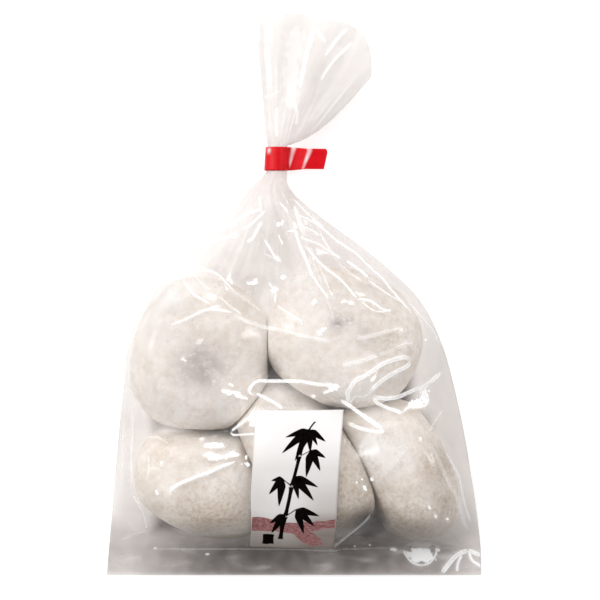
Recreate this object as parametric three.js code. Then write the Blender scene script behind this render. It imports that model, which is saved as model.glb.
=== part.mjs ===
// A clear film bag of five soft rice cakes, tied with a red tape and lying on its back.
// Millimetres, +Z up. The bag's flat seam is at the low end of Y and its gathered mouth at the high end.
// Three cakes lie along the seam and two above them, and the film rises over each one.
import * as THREE from "three";

// The bag
const BAG_WIDTH = 151; // flat width, at the seam
const SEAM_DEPTH = 11; // flat strip between the seam and the cakes
const FILM_PLY = 0.8; // both sheets of film, where they lie together
const CAKE_RISE = 15; // length over which the film climbs from the strip onto the cakes
const SIDE_WRAP = 11; // how far in from its edge the film has rounded the cakes' sides
const BACK_WRAP = 15.4; // the same on the underside
const SIDE_HEIGHT = 13; // height of the side folds beside the upper cakes
const SIDE_FULL_Y = 80; // where the side folds have risen to that height

// The shoulder, where the film leaves the upper cakes and narrows to the neck
const SHOULDER_Y = 112;
const SHOULDER_HEIGHT = 33;
const SHOULDER_BLEND = 16; // length over which it takes over from the cakes
const BACK_LIFT = 22; // length over which the underside leaves the table

// The neck, inside the tape
const NECK_X = -6.7;
const NECK_Y = 162; // lower end of the neck
const NECK_LENGTH = 10.6;
const NECK_RADIUS = 4;
const NECK_HEIGHT = 13; // of the neck's middle line
const NECK_GATHER = 14; // length over which the shoulder closes round the neck

// The open mouth, which fans out above the neck
const MOUTH_LEFT = new THREE.Vector2(-15.2, 220.5);
const MOUTH_RIGHT = new THREE.Vector2(30.8, 200.4);
const MOUTH_TURN = new THREE.Vector2(12.5, 176); // the right edge bends towards this point
const MOUTH_BULGE = 14.3; // how far the mouth's edge curves beyond a straight line
const MOUTH_SQUARENESS = 3.6; // the higher, the squarer the mouth's two corners
const MOUTH_LEAN = 0.3; // the share by which it bulges more on the right
const MOUTH_GAP = 5; // between the two sheets at the mouth
const MOUTH_EDGE_GAP = 0.35; // the share of that gap left at the mouth's two sides
const MOUTH_DROP = 2; // the mouth lies this much lower than the neck
const MOUTH_WAVE = 3; // height of the mouth's ruffles
const MOUTH_WAVES = 2.6; // ruffles across the mouth, each half a wave
const MOUTH_WAVE_START = 0.9; // where in the wave the middle of the mouth is, in radians

// Pleats that run from the neck down over the shoulder
const PLEATS = 6;
const PLEAT_HEIGHT = 0.6;
const PLEAT_START = 0.7; // where in a pleat the middle of the bag is, in radians
const PLEATS_BEGIN_Y = 100;
const PLEATS_FULL_Y = 138;

// The tape round the neck, whose two ends are stuck together as a flag
const TAPE_WIDTH = 9.4;
const TAPE_GAP = 0.35;
const TAPE_THICKNESS = 0.5;
const FLAG_LENGTH = 15.6;
const FLAG_THICKNESS = 0.9;
const FLAG_SWAY = 0.9; // how far the flag waves up and down
const FLAG_WAVES = 1.6; // its half waves
const FLAG_SLANT = 1.8; // the cut end leans by this much

// The paper label on the film
const LABEL_TOP = new THREE.Vector2(2.2, 67.2); // middle of its upper edge
const LABEL_FOOT = new THREE.Vector2(-1, 12.6); // middle of its lower edge
const LABEL_WIDTH = 33.6;
const LABEL_THICKNESS = 0.4;
const LABEL_GAP = 0.65; // between the label and the film under it

// Mesh steps
const COLUMNS = 42;
const COLUMN_SPREAD = 76; // degrees: the nearer 90, the closer the columns lie towards the sides
const ROW_LENGTH = 4;
const CLIMB_ROWS = 5; // onto the cakes, the first ones closest together
const CLIMB_SPACING = 1.6;
const GATHER_ROWS = 5; // into the neck
const NECK_ROWS = 3;
const MOUTH_ROWS = 11;
const FLAG_STEPS = 14;
const RING_STEPS = 28;
const LABEL_COLUMNS = 10;
const LABEL_ROWS = 22;

// Each cake under the film: middle, half length and half width, turn in degrees, height of its top
const CAKES = [
  { x: -38.6, y: 90.3, a: 32, b: 29, turn: 85, top: 36 },
  { x: 20, y: 95.6, a: 32, b: 27.8, turn: -24, top: 37 },
  { x: -36.8, y: 38, a: 27.5, b: 21.8, turn: -24, top: 34 },
  { x: 4.6, y: 46.5, a: 35, b: 26.5, turn: -57, top: 42 }, // the label holds the film out over this one
  { x: 43, y: 43.8, a: 33.4, b: 18.5, turn: -63, top: 34 },
];
const DRAPE = 1.15; // in cake radii: where the film has dropped to half of a cake's height
const DRAPE_POWER = 6; // the higher, the steeper it drops there
const SPAN_POWER = 6; // the lower, the flatter the film spans from one cake to the next

// The two sides of the bag in plan, from the seam to the neck
const HALF_WIDTH = BAG_WIDTH / 2;
const NECK_LEFT = NECK_X - NECK_RADIUS;
const NECK_RIGHT = NECK_X + NECK_RADIUS;
const NECK_END_Y = NECK_Y + NECK_LENGTH;
const SIDE_Y = [0, 12, 45, 75, 95, SHOULDER_Y, 130, 146, 156, NECK_Y, NECK_END_Y];
const LEFT_X = [-HALF_WIDTH, -74.5, -71.5, -68.2, -66, -57.5, -39.5, -24.5, -17.2, NECK_LEFT, NECK_LEFT];
const RIGHT_X = [HALF_WIDTH, 75.2, 70.5, 64.3, 58.5, 49.5, 29.8, 8.3, -2.4, NECK_RIGHT, NECK_RIGHT];
const leftSide = new THREE.CubicInterpolant(SIDE_Y, LEFT_X, 1);
const rightSide = new THREE.CubicInterpolant(SIDE_Y, RIGHT_X, 1);

const { clamp, degToRad, lerp, smoothstep } = THREE.MathUtils;

// Left and right side of the bag at this distance from the seam
function sidesAt(y) {
  return { left: leftSide.evaluate(y)[0], right: rightSide.evaluate(y)[0] };
}

// A quarter of an ellipse: 0 at the start of a rise, 1 where it ends, steepest at the start
function quarterRise(distance, length) {
  const rest = 1 - clamp(distance / length, 0, 1);
  return Math.sqrt(1 - rest * rest);
}

// The larger of two heights, with the crossing from one to the other rounded
function smoothMax(...heights) {
  return heights.reduce((sum, height) => sum + height ** SPAN_POWER, 0) ** (1 / SPAN_POWER);
}

// Height of the film over one cake
function drape(cake, x, y) {
  const turn = degToRad(cake.turn);
  const dx = x - cake.x;
  const dy = y - cake.y;
  const along = (dx * Math.cos(turn) + dy * Math.sin(turn)) / cake.a;
  const across = (dy * Math.cos(turn) - dx * Math.sin(turn)) / cake.b;
  const radius = Math.hypot(along, across) / DRAPE;
  return cake.top / (1 + radius ** DRAPE_POWER);
}

// Height of the film over the five cakes, which it spans from one to the next
function cakeHeight(x, y) {
  return smoothMax(...CAKES.map((cake) => drape(cake, x, y)));
}

// Height of the side folds: on the table at the seam, half way up the cakes further on
function sideHeight(y) {
  const raised = FILM_PLY + SIDE_HEIGHT * smoothstep(y, SEAM_DEPTH, SIDE_FULL_Y);
  return lerp(raised, NECK_HEIGHT, smoothstep(y, SHOULDER_Y, NECK_Y));
}

// Half height of the film's cross-section from the shoulder to the neck
function shoulderRadius(y) {
  const share = clamp((y - SHOULDER_Y) / (NECK_Y - SHOULDER_Y), 0, 1);
  return lerp(SHOULDER_HEIGHT / 2, NECK_RADIUS, share);
}

// Pleats fade out over the cakes, at both sides, and inside the tape
function pleat(y, s) {
  const grown = smoothstep(y, PLEATS_BEGIN_Y, PLEATS_FULL_Y);
  const gathered = smoothstep(y, NECK_Y - NECK_GATHER, NECK_Y);
  return PLEAT_HEIGHT * grown * (1 - gathered) * (1 - s * s) * Math.cos(Math.PI * PLEATS * s + PLEAT_START);
}

// The upper sheet of the bag below the tape, where s runs from -1 at the left side to 1 at the right
function upperSheet(y, s) {
  const { left, right } = sidesAt(y);
  const x = lerp(left, right, (s + 1) / 2);
  const side = sideHeight(y);
  const inwards = (1 - Math.abs(s)) * (right - left) / 2;
  const climb = quarterRise(y - SEAM_DEPTH, CAKE_RISE) * quarterRise(inwards, SIDE_WRAP);
  const round = Math.sqrt(1 - s * s);
  const overCakes = Math.max(cakeHeight(x, y) - side, 0) * climb;
  const shoulder = smoothstep(y, SHOULDER_Y - SHOULDER_BLEND / 2, SHOULDER_Y + SHOULDER_BLEND / 2);
  const tent = shoulderRadius(y) * round * shoulder;
  const gathered = smoothstep(y, NECK_Y - NECK_GATHER, NECK_Y);
  const rise = lerp(smoothMax(overCakes, tent), NECK_RADIUS * round, gathered);
  return side + rise + FILM_PLY / 2 * (1 - gathered) + pleat(y, s);
}

// The lower sheet, flat on the table under the cakes
function lowerSheet(y, s) {
  const { left, right } = sidesAt(y);
  const side = sideHeight(y);
  const inwards = (1 - Math.abs(s)) * (right - left) / 2;
  const flat = (side - FILM_PLY) * (1 - quarterRise(inwards, BACK_WRAP));
  const tent = side - shoulderRadius(y) * Math.sqrt(1 - s * s);
  const lifted = lerp(flat, tent, smoothstep(y, SHOULDER_Y, SHOULDER_Y + BACK_LIFT));
  return Math.max(lifted, 0) + pleat(y, s) * smoothstep(y, SHOULDER_Y + BACK_LIFT / 2, NECK_Y - NECK_GATHER);
}

// A point of the bag below the tape
function bodyPoint(y, s, upper) {
  const { left, right } = sidesAt(y);
  const z = upper ? upperSheet(y, s) : lowerSheet(y, s);
  return new THREE.Vector3(lerp(left, right, (s + 1) / 2), y, z);
}

// A point of the gathered film above the tape, where t runs from 0 at the tape to 1 at the mouth
const leftEdge = new THREE.LineCurve(new THREE.Vector2(NECK_LEFT, NECK_END_Y), MOUTH_LEFT);
const rightEdge = new THREE.QuadraticBezierCurve(
  new THREE.Vector2(NECK_RIGHT, NECK_END_Y),
  MOUTH_TURN,
  MOUTH_RIGHT,
);

function mouthPoint(t, s, upper) {
  const left = leftEdge.getPoint(t);
  const right = rightEdge.getPoint(t);
  const middle = left.clone().lerp(right, (s + 1) / 2);
  const outwards = new THREE.Vector2(left.y - right.y, right.x - left.x).normalize();
  const bulge = MOUTH_BULGE * t ** 1.5 * (1 - Math.abs(s) ** MOUTH_SQUARENESS) * (1 + MOUTH_LEAN * s);
  middle.addScaledVector(outwards, bulge);
  const round = Math.sqrt(1 - s * s);
  const open = MOUTH_GAP / 2 * lerp(MOUTH_EDGE_GAP, 1, round);
  const half = lerp(NECK_RADIUS * round, open, smoothstep(t, 0, 0.45));
  const ruffle = MOUTH_WAVE * Math.sin(Math.PI * MOUTH_WAVES * s + MOUTH_WAVE_START);
  const height = NECK_HEIGHT - MOUTH_DROP * t + ruffle * smoothstep(t, 0.1, 1);
  return new THREE.Vector3(middle.x, middle.y, height + (upper ? half : -half));
}

// Rows of the bag's mesh: closer together where the film bends most
function bodyRows() {
  const rows = [0, SEAM_DEPTH / 2];
  for (let i = 0; i <= CLIMB_ROWS; i++) {
    rows.push(SEAM_DEPTH + CAKE_RISE * (i / CLIMB_ROWS) ** CLIMB_SPACING);
  }
  for (let y = SEAM_DEPTH + CAKE_RISE + ROW_LENGTH; y < NECK_Y - NECK_GATHER; y += ROW_LENGTH) {
    rows.push(y);
  }
  const last = rows.at(-1);
  for (let i = 1; i <= GATHER_ROWS; i++) {
    rows.push(lerp(last, NECK_Y, i / GATHER_ROWS));
  }
  for (let i = 1; i <= NECK_ROWS; i++) {
    rows.push(NECK_Y + NECK_LENGTH * i / NECK_ROWS);
  }
  return rows;
}

// The bag: a flat box of two sheets, with each point moved to its place on the film
function bagGeometry() {
  const body = bodyRows();
  const rows = body.length - 1 + MOUTH_ROWS;
  const geometry = new THREE.BoxGeometry(2, rows, 2, COLUMNS, rows, 1);
  const points = geometry.getAttribute("position");
  const spread = degToRad(COLUMN_SPREAD);
  for (let i = 0; i < points.count; i++) {
    const s = clamp(Math.sin(points.getX(i) * spread) / Math.sin(spread), -1, 1);
    const row = Math.round(points.getY(i) + rows / 2);
    const upper = points.getZ(i) > 0;
    const point =
      row < body.length
        ? bodyPoint(body[row], s, upper)
        : mouthPoint((row - body.length + 1) / MOUTH_ROWS, s, upper);
    points.setXYZ(i, point.x, point.y, point.z);
  }
  return geometry;
}

// The tape in the plane across the neck: a ring with a waving flag on its right
function tapeGeometry() {
  const inner = NECK_RADIUS + TAPE_GAP;
  const outer = inner + TAPE_THICKNESS;
  const root = Math.asin(FLAG_THICKNESS / 2 / outer);
  const sway = (share) => FLAG_SWAY * share * Math.sin(share * Math.PI * FLAG_WAVES);
  const outline = new THREE.Shape();
  outline.absarc(0, 0, outer, root, 2 * Math.PI - root, false);
  for (let i = 1; i <= FLAG_STEPS; i++) {
    const share = i / FLAG_STEPS;
    outline.lineTo(outer + FLAG_LENGTH * share, sway(share) - FLAG_THICKNESS / 2);
  }
  for (let i = FLAG_STEPS; i >= 1; i--) {
    const share = i / FLAG_STEPS;
    outline.lineTo(outer + FLAG_LENGTH * share, sway(share) + FLAG_THICKNESS / 2);
  }
  outline.closePath();
  const hole = new THREE.Path();
  hole.absarc(0, 0, inner, 0, 2 * Math.PI, true);
  outline.holes.push(hole);
  const geometry = new THREE.ExtrudeGeometry(outline, {
    depth: TAPE_WIDTH,
    steps: 1,
    bevelEnabled: false,
    curveSegments: RING_STEPS,
  });
  const points = geometry.getAttribute("position");
  for (let i = 0; i < points.count; i++) {
    const beyond = clamp((points.getX(i) - outer) / FLAG_LENGTH, 0, 1);
    points.setX(i, points.getX(i) - FLAG_SLANT * beyond * (points.getZ(i) / TAPE_WIDTH));
  }
  return geometry.rotateX(Math.PI / 2).translate(0, TAPE_WIDTH, 0);
}

// A point of the label, this far off the film along the film's own normal. Its upper and lower edges lie
// along the seam, and its sides lean a little.
function labelPoint(across, along, gap) {
  const middle = LABEL_FOOT.clone().lerp(LABEL_TOP, along + 0.5);
  const x = middle.x + across * LABEL_WIDTH;
  const y = middle.y;
  const height = (px, py) => {
    const { left, right } = sidesAt(py);
    return upperSheet(py, (2 * px - left - right) / (right - left));
  };
  const step = 1;
  const normal = new THREE.Vector3(
    height(x - step, y) - height(x + step, y),
    height(x, y - step) - height(x, y + step),
    2 * step,
  ).normalize();
  return new THREE.Vector3(x, y, height(x, y)).addScaledVector(normal, gap);
}

function labelGeometry() {
  const geometry = new THREE.BoxGeometry(1, 1, 1, LABEL_COLUMNS, LABEL_ROWS, 1);
  const points = geometry.getAttribute("position");
  for (let i = 0; i < points.count; i++) {
    const gap = LABEL_GAP + (points.getZ(i) > 0 ? LABEL_THICKNESS : 0);
    const point = labelPoint(points.getX(i), points.getY(i), gap);
    points.setXYZ(i, point.x, point.y, point.z);
  }
  return geometry;
}

const film = new THREE.MeshStandardMaterial({ color: "#e4dfda", roughness: 0.15, metalness: 0 });
const redTape = new THREE.MeshStandardMaterial({ color: "#d81f28", roughness: 0.3, metalness: 0 });
const paper = new THREE.MeshStandardMaterial({ color: "#f4f1ee", roughness: 0.7, metalness: 0 });

function named(name, geometry, material) {
  const mesh = new THREE.Mesh(geometry, material);
  mesh.name = name;
  return mesh;
}

const bag = named("bag", bagGeometry(), film);
const tie = named("tie", tapeGeometry(), redTape);
tie.position.set(NECK_X, NECK_Y + (NECK_LENGTH - TAPE_WIDTH) / 2, NECK_HEIGHT);
const label = named("label", labelGeometry(), paper);

// The origin is under the middle of the whole pack
const pack = new THREE.Group();
pack.add(bag, tie, label);
const bounds = new THREE.Box3().setFromObject(pack);
pack.position.set(
  -(bounds.min.x + bounds.max.x) / 2,
  -(bounds.min.y + bounds.max.y) / 2,
  -bounds.min.z,
);
const part = new THREE.Group();
part.add(pack);

export default part;
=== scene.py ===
# A clear film bag of five soft rice cakes, tied with red tape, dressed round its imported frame.
# Lengths are millimetres unless a name says otherwise. Places on the bag are written as the bag is made:
# x from its middle line, y from its bottom seam, z from the table.
import math
import random

import bmesh
import bpy
import numpy as np
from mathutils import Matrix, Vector, noise
from mathutils.bvhtree import BVHTree
from mathutils.kdtree import KDTree


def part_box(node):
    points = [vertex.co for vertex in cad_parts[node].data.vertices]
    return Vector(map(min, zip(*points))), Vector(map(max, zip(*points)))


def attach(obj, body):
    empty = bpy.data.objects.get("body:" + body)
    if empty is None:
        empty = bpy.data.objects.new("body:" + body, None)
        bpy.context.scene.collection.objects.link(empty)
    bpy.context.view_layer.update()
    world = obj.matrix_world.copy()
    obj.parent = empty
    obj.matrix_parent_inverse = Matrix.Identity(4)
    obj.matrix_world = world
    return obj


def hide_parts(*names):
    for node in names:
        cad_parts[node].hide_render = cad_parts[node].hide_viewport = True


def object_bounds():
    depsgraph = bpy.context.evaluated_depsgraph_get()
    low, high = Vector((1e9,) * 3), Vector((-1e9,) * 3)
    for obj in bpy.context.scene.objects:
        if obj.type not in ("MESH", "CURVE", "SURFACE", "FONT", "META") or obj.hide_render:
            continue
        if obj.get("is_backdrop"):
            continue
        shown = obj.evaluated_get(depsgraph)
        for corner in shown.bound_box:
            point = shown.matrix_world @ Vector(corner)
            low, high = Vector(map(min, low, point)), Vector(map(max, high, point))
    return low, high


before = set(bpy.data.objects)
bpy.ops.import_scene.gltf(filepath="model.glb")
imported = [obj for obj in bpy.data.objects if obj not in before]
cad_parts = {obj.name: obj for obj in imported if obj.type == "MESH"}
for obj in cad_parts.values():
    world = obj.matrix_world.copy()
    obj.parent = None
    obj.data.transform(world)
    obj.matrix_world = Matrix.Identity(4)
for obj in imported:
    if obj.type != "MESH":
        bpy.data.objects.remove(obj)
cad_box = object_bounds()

MM = 0.001
WELD = 0.01  # CAD corners closer than this are one
SEAM_Y = cad_box[0][1] / MM  # the bottom seam's place in the frame
UP = Vector((0, 0, 1))
UNDER, OVER = -10, 100  # the heights from which rays look for a sheet's lower and upper face

# ------------------------------------------------------------------ small helpers


def smoothstep(value, start, end):
    """0 before start, 1 after end, and a smooth rise between them. Works on numbers and arrays."""
    share = np.clip((value - start) / (end - start), 0.0, 1.0)
    return share * share * (3 - 2 * share)


def between(value, start, full, fading, end):
    """1 from full to fading, 0 before start and after end, and smooth where it rises and falls."""
    return smoothstep(value, start, full) * (1 - smoothstep(value, fading, end))


def ridge(away, half):
    """1 on the line of a fold, and a smooth fall on both sides of it."""
    return 1 / (1 + (away / half) ** 2) ** 1.5


def hill(x, y, place, size):
    """1 at a place, and a smooth fall round it over this half length and half width."""
    return np.exp(-((x - place[0]) / size[0]) ** 2 - ((y - place[1]) / size[1]) ** 2)


def points_of(mesh):
    """A mesh's points in millimetres, as an array."""
    flat = np.empty(len(mesh.vertices) * 3)
    mesh.vertices.foreach_get("co", flat)
    return flat.reshape(-1, 3) / MM


def normals_of(mesh):
    """The smooth normal at each of a mesh's points."""
    flat = np.empty(len(mesh.vertices) * 3)
    mesh.vertex_normals.foreach_get("vector", flat)
    return flat.reshape(-1, 3)


def set_points(mesh, points):
    mesh.vertices.foreach_set("co", (points * MM).ravel())
    mesh.update()


def set_attribute(mesh, name, values):
    """One number for each point of a mesh, which its material reads by name."""
    attribute = mesh.attributes.new(name, "FLOAT", "POINT")
    attribute.data.foreach_set("value", np.asarray(values, dtype=float))


def soft_noise(points, size, seed=0.0):
    """Smooth noise from about -1 to 1 whose lumps are this many millimetres across."""
    shift = Vector((seed, seed * 1.7, -seed))
    return np.array([noise.noise(Vector(p) / size + shift) for p in points]) * 1.6


def mesh_from(bm, name):
    mesh = bpy.data.meshes.new(name)
    bm.to_mesh(mesh)
    bm.free()
    return mesh


def make_object(name, data):
    piece = bpy.data.objects.new(name, data)
    bpy.context.scene.collection.objects.link(piece)
    return piece


def finish_piece(piece, slot, material, *nodes):
    """Smooth shading, the material, and the piece's place in the part."""
    piece.data.shade_smooth()
    piece.data.materials.clear()
    piece.data.materials.append(material)
    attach(piece, "root")
    if nodes:
        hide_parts(*nodes)


def apply_modifiers(piece, *modifiers):
    """Gives the piece the mesh that these modifiers make of it. Each is a kind and its settings."""
    for kind, settings in modifiers:
        modifier = piece.modifiers.new(kind, kind)
        for name, value in settings.items():
            setattr(modifier, name, value)
    graph = bpy.context.evaluated_depsgraph_get()
    coarse = piece.data
    piece.data = bpy.data.meshes.new_from_object(piece.evaluated_get(graph))
    piece.modifiers.clear()
    bpy.data.meshes.remove(coarse)
    piece.data.name = piece.name


def subdivision(levels, **settings):
    """The modifier that makes a mesh finer and rounder."""
    return "SUBSURF", {"levels": levels, "render_levels": levels, **settings}


def tree_of(mesh):
    """For finding places on a mesh."""
    return BVHTree.FromPolygons([v.co for v in mesh.vertices], [p.vertices for p in mesh.polygons])


# ------------------------------------------------------------------ materials


def linear(code):
    """An sRGB hex colour as the linear values that shaders take."""
    channels = [int(code[i:i + 2], 16) / 255 for i in (1, 3, 5)]
    return [c / 12.92 if c <= 0.04045 else ((c + 0.055) / 1.055) ** 2.4 for c in channels] + [1.0]


def add(tree, kind, inputs=None, out=0, **settings):
    """One shader node with its settings, and one of its outputs. Each of its inputs is given a value, a
    hex colour, or another node's output, which is linked to it."""
    node = tree.nodes.new("ShaderNode" + kind)
    for name, value in settings.items():
        setattr(node, name, value)
    for socket, value in (inputs or {}).items():
        if isinstance(value, bpy.types.NodeSocket):
            tree.links.new(value, node.inputs[socket])
        else:
            node.inputs[socket].default_value = linear(value) if isinstance(value, str) else value
    return node.outputs[out] if len(node.outputs) else None


def new_material(name):
    material = bpy.data.materials.new(name)
    material.use_nodes = True
    material.node_tree.nodes.clear()
    return material, material.node_tree


def film_material():
    """Cast polypropylene film, 0.03 mm: it lets nearly all light through with a faint milky haze, and
    turns cloudier where many folds lie together. On it are painted highlights along creases and on
    crumpled spots, painted sheen in patches, and painted shade where it passes less light."""
    material, tree = new_material("cast polypropylene film")
    place = add(tree, "TexCoord", out="Object")
    haze_and_sheen, painted_shade, glint = [
        add(tree, "Attribute", out="Fac", attribute_name=name) for name in ("haze_and_sheen", "painted_shade", "glint")]
    # Handling marks 14 mm across, and a slight crackle of 4 mm that breaks up the reflections
    patchy = add(tree, "TexNoise", {"Vector": place, "Scale": 1 / (14 * MM), "Detail": 3.0})
    marks = add(tree, "MapRange", {0: patchy, 1: 0.4, 2: 0.75, 3: 0.0, 4: 0.05})
    crackle = add(tree, "TexNoise", {
        "Vector": place, "Scale": 1 / (4 * MM), "Detail": 4.0, "Roughness": 0.55})
    normal = add(tree, "Bump", {"Height": crackle, "Strength": 0.35, "Distance": 0.12 * MM})
    # Painted shade: where the film's painted shade attribute is high, it passes less light, and browner
    passed = add(tree, "Mix", {0: painted_shade, 6: "#fdfbfa", 7: "#6b605a"}, 2, data_type="RGBA")
    clear = add(tree, "BsdfTransparent", {"Color": passed})
    # Cloudy film sends some light back and passes the rest on, scattered
    back = add(tree, "BsdfDiffuse", {"Color": "#efebe8", "Normal": normal})
    through = add(tree, "BsdfTranslucent", {"Color": "#efebe8", "Normal": normal})
    milk = add(tree, "MixShader", {0: 0.3, 1: back, 2: through})
    milkiness = add(tree, "Math", {0: haze_and_sheen, 1: marks}, operation="ADD")
    haze = add(tree, "MixShader", {0: milkiness, 1: clear, 2: milk})
    # Painted highlights: where the glint attribute is set, the film is drawn white, and lit from both its
    # faces
    near = add(tree, "BsdfDiffuse", {"Color": "#ffffff"})
    far = add(tree, "BsdfTranslucent", {"Color": "#757575"})
    white = add(tree, "AddShader", {0: near, 1: far})
    creased = add(tree, "MixShader", {0: glint, 1: haze, 2: white})
    # Both faces of the film mirror a little head on, and more towards grazing
    facing = add(tree, "LayerWeight", {"Blend": 0.5, "Normal": normal}, "Facing")
    grazing = add(tree, "Math", {0: facing, 1: 4.0}, operation="POWER")
    mirror = add(tree, "MapRange", {0: grazing, 1: 0.0, 2: 1.0, 3: 0.035, 4: 0.4})
    gloss = add(tree, "BsdfGlossy", {"Roughness": 0.15, "Normal": normal})
    surface = add(tree, "MixShader", {0: mirror, 1: creased, 2: gloss})
    add(tree, "OutputMaterial", {"Surface": surface})
    return material


def dough_material():
    """Steamed glutinous rice dough dusted with potato starch: soft and matt, warm white, with paler
    patches of starch, greyer where the filling shows through, and browner where it stays damp. The starch
    marks also hold painted light, and the damp marks painted shade."""
    material, tree = new_material("steamed glutinous rice dough")
    place = add(tree, "TexCoord", out="Object")
    starch_and_painted_light, filling, damp_and_painted_shade = [
        add(tree, "Attribute", out="Fac", attribute_name=name) for name in ("starch_and_painted_light", "filling", "damp_and_painted_shade")]
    everywhere = 1.0
    # From the dough outwards: where each layer lies, its colour, the size, detail and roughness of its
    # patches, the two levels of noise between which they fade in, and how much of it shows at these levels
    # (an even layer shows as much at both)
    layers = [
        (everywhere, "#f7f3ed", (5.5, 6.0, 0.75), (0.38, 0.64), (0.0, 1.0)),
        # damp dough, which also holds painted shade towards the cakes' lower ends
        (damp_and_painted_shade, "#9f8d72", (1.6, 3.0, 0.7), (0.45, 0.7), (0.0, 1.0)),
        (damp_and_painted_shade, "#b3a28c", (1.6, 3.0, 0.7), (0.0, 1.0), (0.5, 0.5)),
        # starch, which also holds painted light
        (starch_and_painted_light, "#fdfaf7", (2.8, 5.0, 0.8), (0.45, 0.56), (0.45, 1.0)),
        (filling, "#aaa09f", (5.0, 5.0, 0.75), (0.3, 0.6), (0.4, 1.0)),
        (starch_and_painted_light, "#fffdfb", (1.5, 2.0, 0.6), (0.6, 0.68), (0.0, 0.75)),
    ]
    colour = "#e1d7cb"
    for where, tint, (size, detail, rough), (low, high), (least, most) in layers:
        patches = add(tree, "TexNoise", {
            "Vector": place, "Scale": 1 / (size * MM), "Detail": detail, "Roughness": rough})
        shown = add(tree, "MapRange", {0: patches, 1: low, 2: high, 3: least, 4: most})
        cover = add(tree, "Math", {0: shown, 1: where}, operation="MULTIPLY")
        colour = add(tree, "Mix", {0: cover, 6: colour, 7: tint}, 2, data_type="RGBA")
    # The dust is rougher than the bare dough
    dust = add(tree, "TexNoise", {
        "Vector": place, "Scale": 1 / (2.8 * MM), "Detail": 5.0, "Roughness": 0.8})
    roughness = add(tree, "MapRange", {0: dust, 1: 0.45, 2: 0.56, 3: 0.55, 4: 0.85})
    lumps = add(tree, "TexNoise", {
        "Vector": place, "Scale": 1 / (2.2 * MM), "Detail": 4.0, "Roughness": 0.65})
    surface = add(tree, "BsdfPrincipled", {
        "Base Color": colour,
        "Roughness": roughness,
        "IOR": 1.45,
        "Subsurface Weight": 0.18,
        "Subsurface Radius": (1.0, 0.75, 0.55),
        "Subsurface Scale": 3 * MM,
        "Normal": add(tree, "Bump", {"Height": lumps, "Strength": 0.55, "Distance": 0.35 * MM}),
    })
    add(tree, "OutputMaterial", {"Surface": surface})
    return material


def tape_material():
    """Bag-sealing tape of PVC film, printed red: glossy and rippled by its stretching, with painted
    highlights along its folds."""
    material, tree = new_material("red PVC sealing tape")
    place = add(tree, "TexCoord", out="Object")
    patches = add(tree, "TexNoise", {"Vector": place, "Scale": 1 / (3 * MM)})
    patchy = add(tree, "MapRange", {0: patches, 1: 0.35, 2: 0.65, 3: 0.0, 4: 1.0})
    ripple = add(tree, "TexNoise", {"Vector": place, "Scale": 1 / (1.8 * MM)})
    red = add(tree, "Mix", {0: patchy, 6: "#cb0311", 7: "#d8071a"}, 2, data_type="RGBA")
    # painted highlights on the folds, paler and rougher
    highlight_on_folds = add(tree, "Attribute", out="Fac", attribute_name="painted_fold_highlight")
    surface = add(tree, "BsdfPrincipled", {
        "Base Color": add(tree, "Mix", {0: highlight_on_folds, 6: red, 7: "#f6dfe0"}, 2, data_type="RGBA"),
        "Roughness": add(tree, "MapRange", {0: highlight_on_folds, 1: 0.0, 2: 1.0, 3: 0.3, 4: 0.6}),
        "IOR": 1.4,
        "Specular IOR Level": 0.25,
        "Normal": add(tree, "Bump", {"Height": ripple, "Strength": 0.2, "Distance": 0.08 * MM}),
    })
    add(tree, "OutputMaterial", {"Surface": surface})
    return material


def paper_material():
    """Coated label paper: near white and smooth, with the faint cloudiness of its fibres, and painted
    shade darkening it towards its foot and its right edge."""
    material, tree = new_material("coated label paper")
    place = add(tree, "TexCoord", out="Object")
    fibres = add(tree, "TexNoise", {
        "Vector": place, "Scale": 1 / (0.7 * MM), "Detail": 4.0, "Roughness": 0.6})
    white = add(tree, "Mix", {0: fibres, 6: "#efecea", 7: "#f7f5f3"}, 2, data_type="RGBA")
    painted_paper_shade = add(tree, "Attribute", out="Fac", attribute_name="painted_paper_shade")
    surface = add(tree, "BsdfPrincipled", {
        "Base Color": add(tree, "Mix", {0: painted_paper_shade, 6: white, 7: "#6f5d52"}, 2, data_type="RGBA"),
        "Roughness": 0.5,
        "IOR": 1.5,
        "Normal": add(tree, "Bump", {"Height": fibres, "Strength": 0.2, "Distance": 0.05 * MM}),
    })
    add(tree, "OutputMaterial", {"Surface": surface})
    return material


def ink_material(name, thin, thick, streak):
    """Printing ink on paper: matt, and thinner where the drawn brush ran dry. streak is how many times
    longer than wide the dry places are."""
    material, tree = new_material(name)
    place = add(tree, "TexCoord", out="Object")
    stretched = add(tree, "Mapping", {"Vector": place, "Scale": (1.0 / streak, 1.0, 1.0)})
    bristles = add(tree, "TexNoise", {
        "Vector": stretched, "Scale": 1 / (0.8 * MM), "Detail": 4.0, "Roughness": 0.7})
    dry = add(tree, "MapRange", {0: bristles, 1: 0.38, 2: 0.62, 3: 0.0, 4: 1.0})
    surface = add(tree, "BsdfPrincipled", {
        "Base Color": add(tree, "Mix", {0: dry, 6: thick, 7: thin}, 2, data_type="RGBA"),
        "Roughness": 0.8,
        "Specular IOR Level": 0.0,
    })
    add(tree, "OutputMaterial", {"Surface": surface})
    return material


# ------------------------------------------------------------------ the film bag

NECK_X = -6.7
NECK_Y = 162.0  # lower edge of the tape
TAPE_TOP_Y = 172.6
RIM_Y = TAPE_TOP_Y + 20  # the rim of the mouth lies beyond this
SHOULDER_Y = 105  # the gathers under the neck begin here
STRIP_TOP = 11.4  # the strip between the seam and the cakes ends here
LABEL_TOP = (2.2, 67.2)  # middle of its upper edge
LABEL_FOOT = (-1.0, 12.6)  # middle of its lower edge
LABEL_WIDTH = 33.6
GLUE = 0.1  # between the film and the label's back
MOUTH_OPENS = Vector((0.4, 0.916, 0))  # the way that the mouth faces
FOLD_ANGLE = 55  # an edge of the CAD bag that turns more than this, in degrees, stays a sharp fold
FRONT, BACK, MOUTH = 0, 1, 2  # the film's panels
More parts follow.
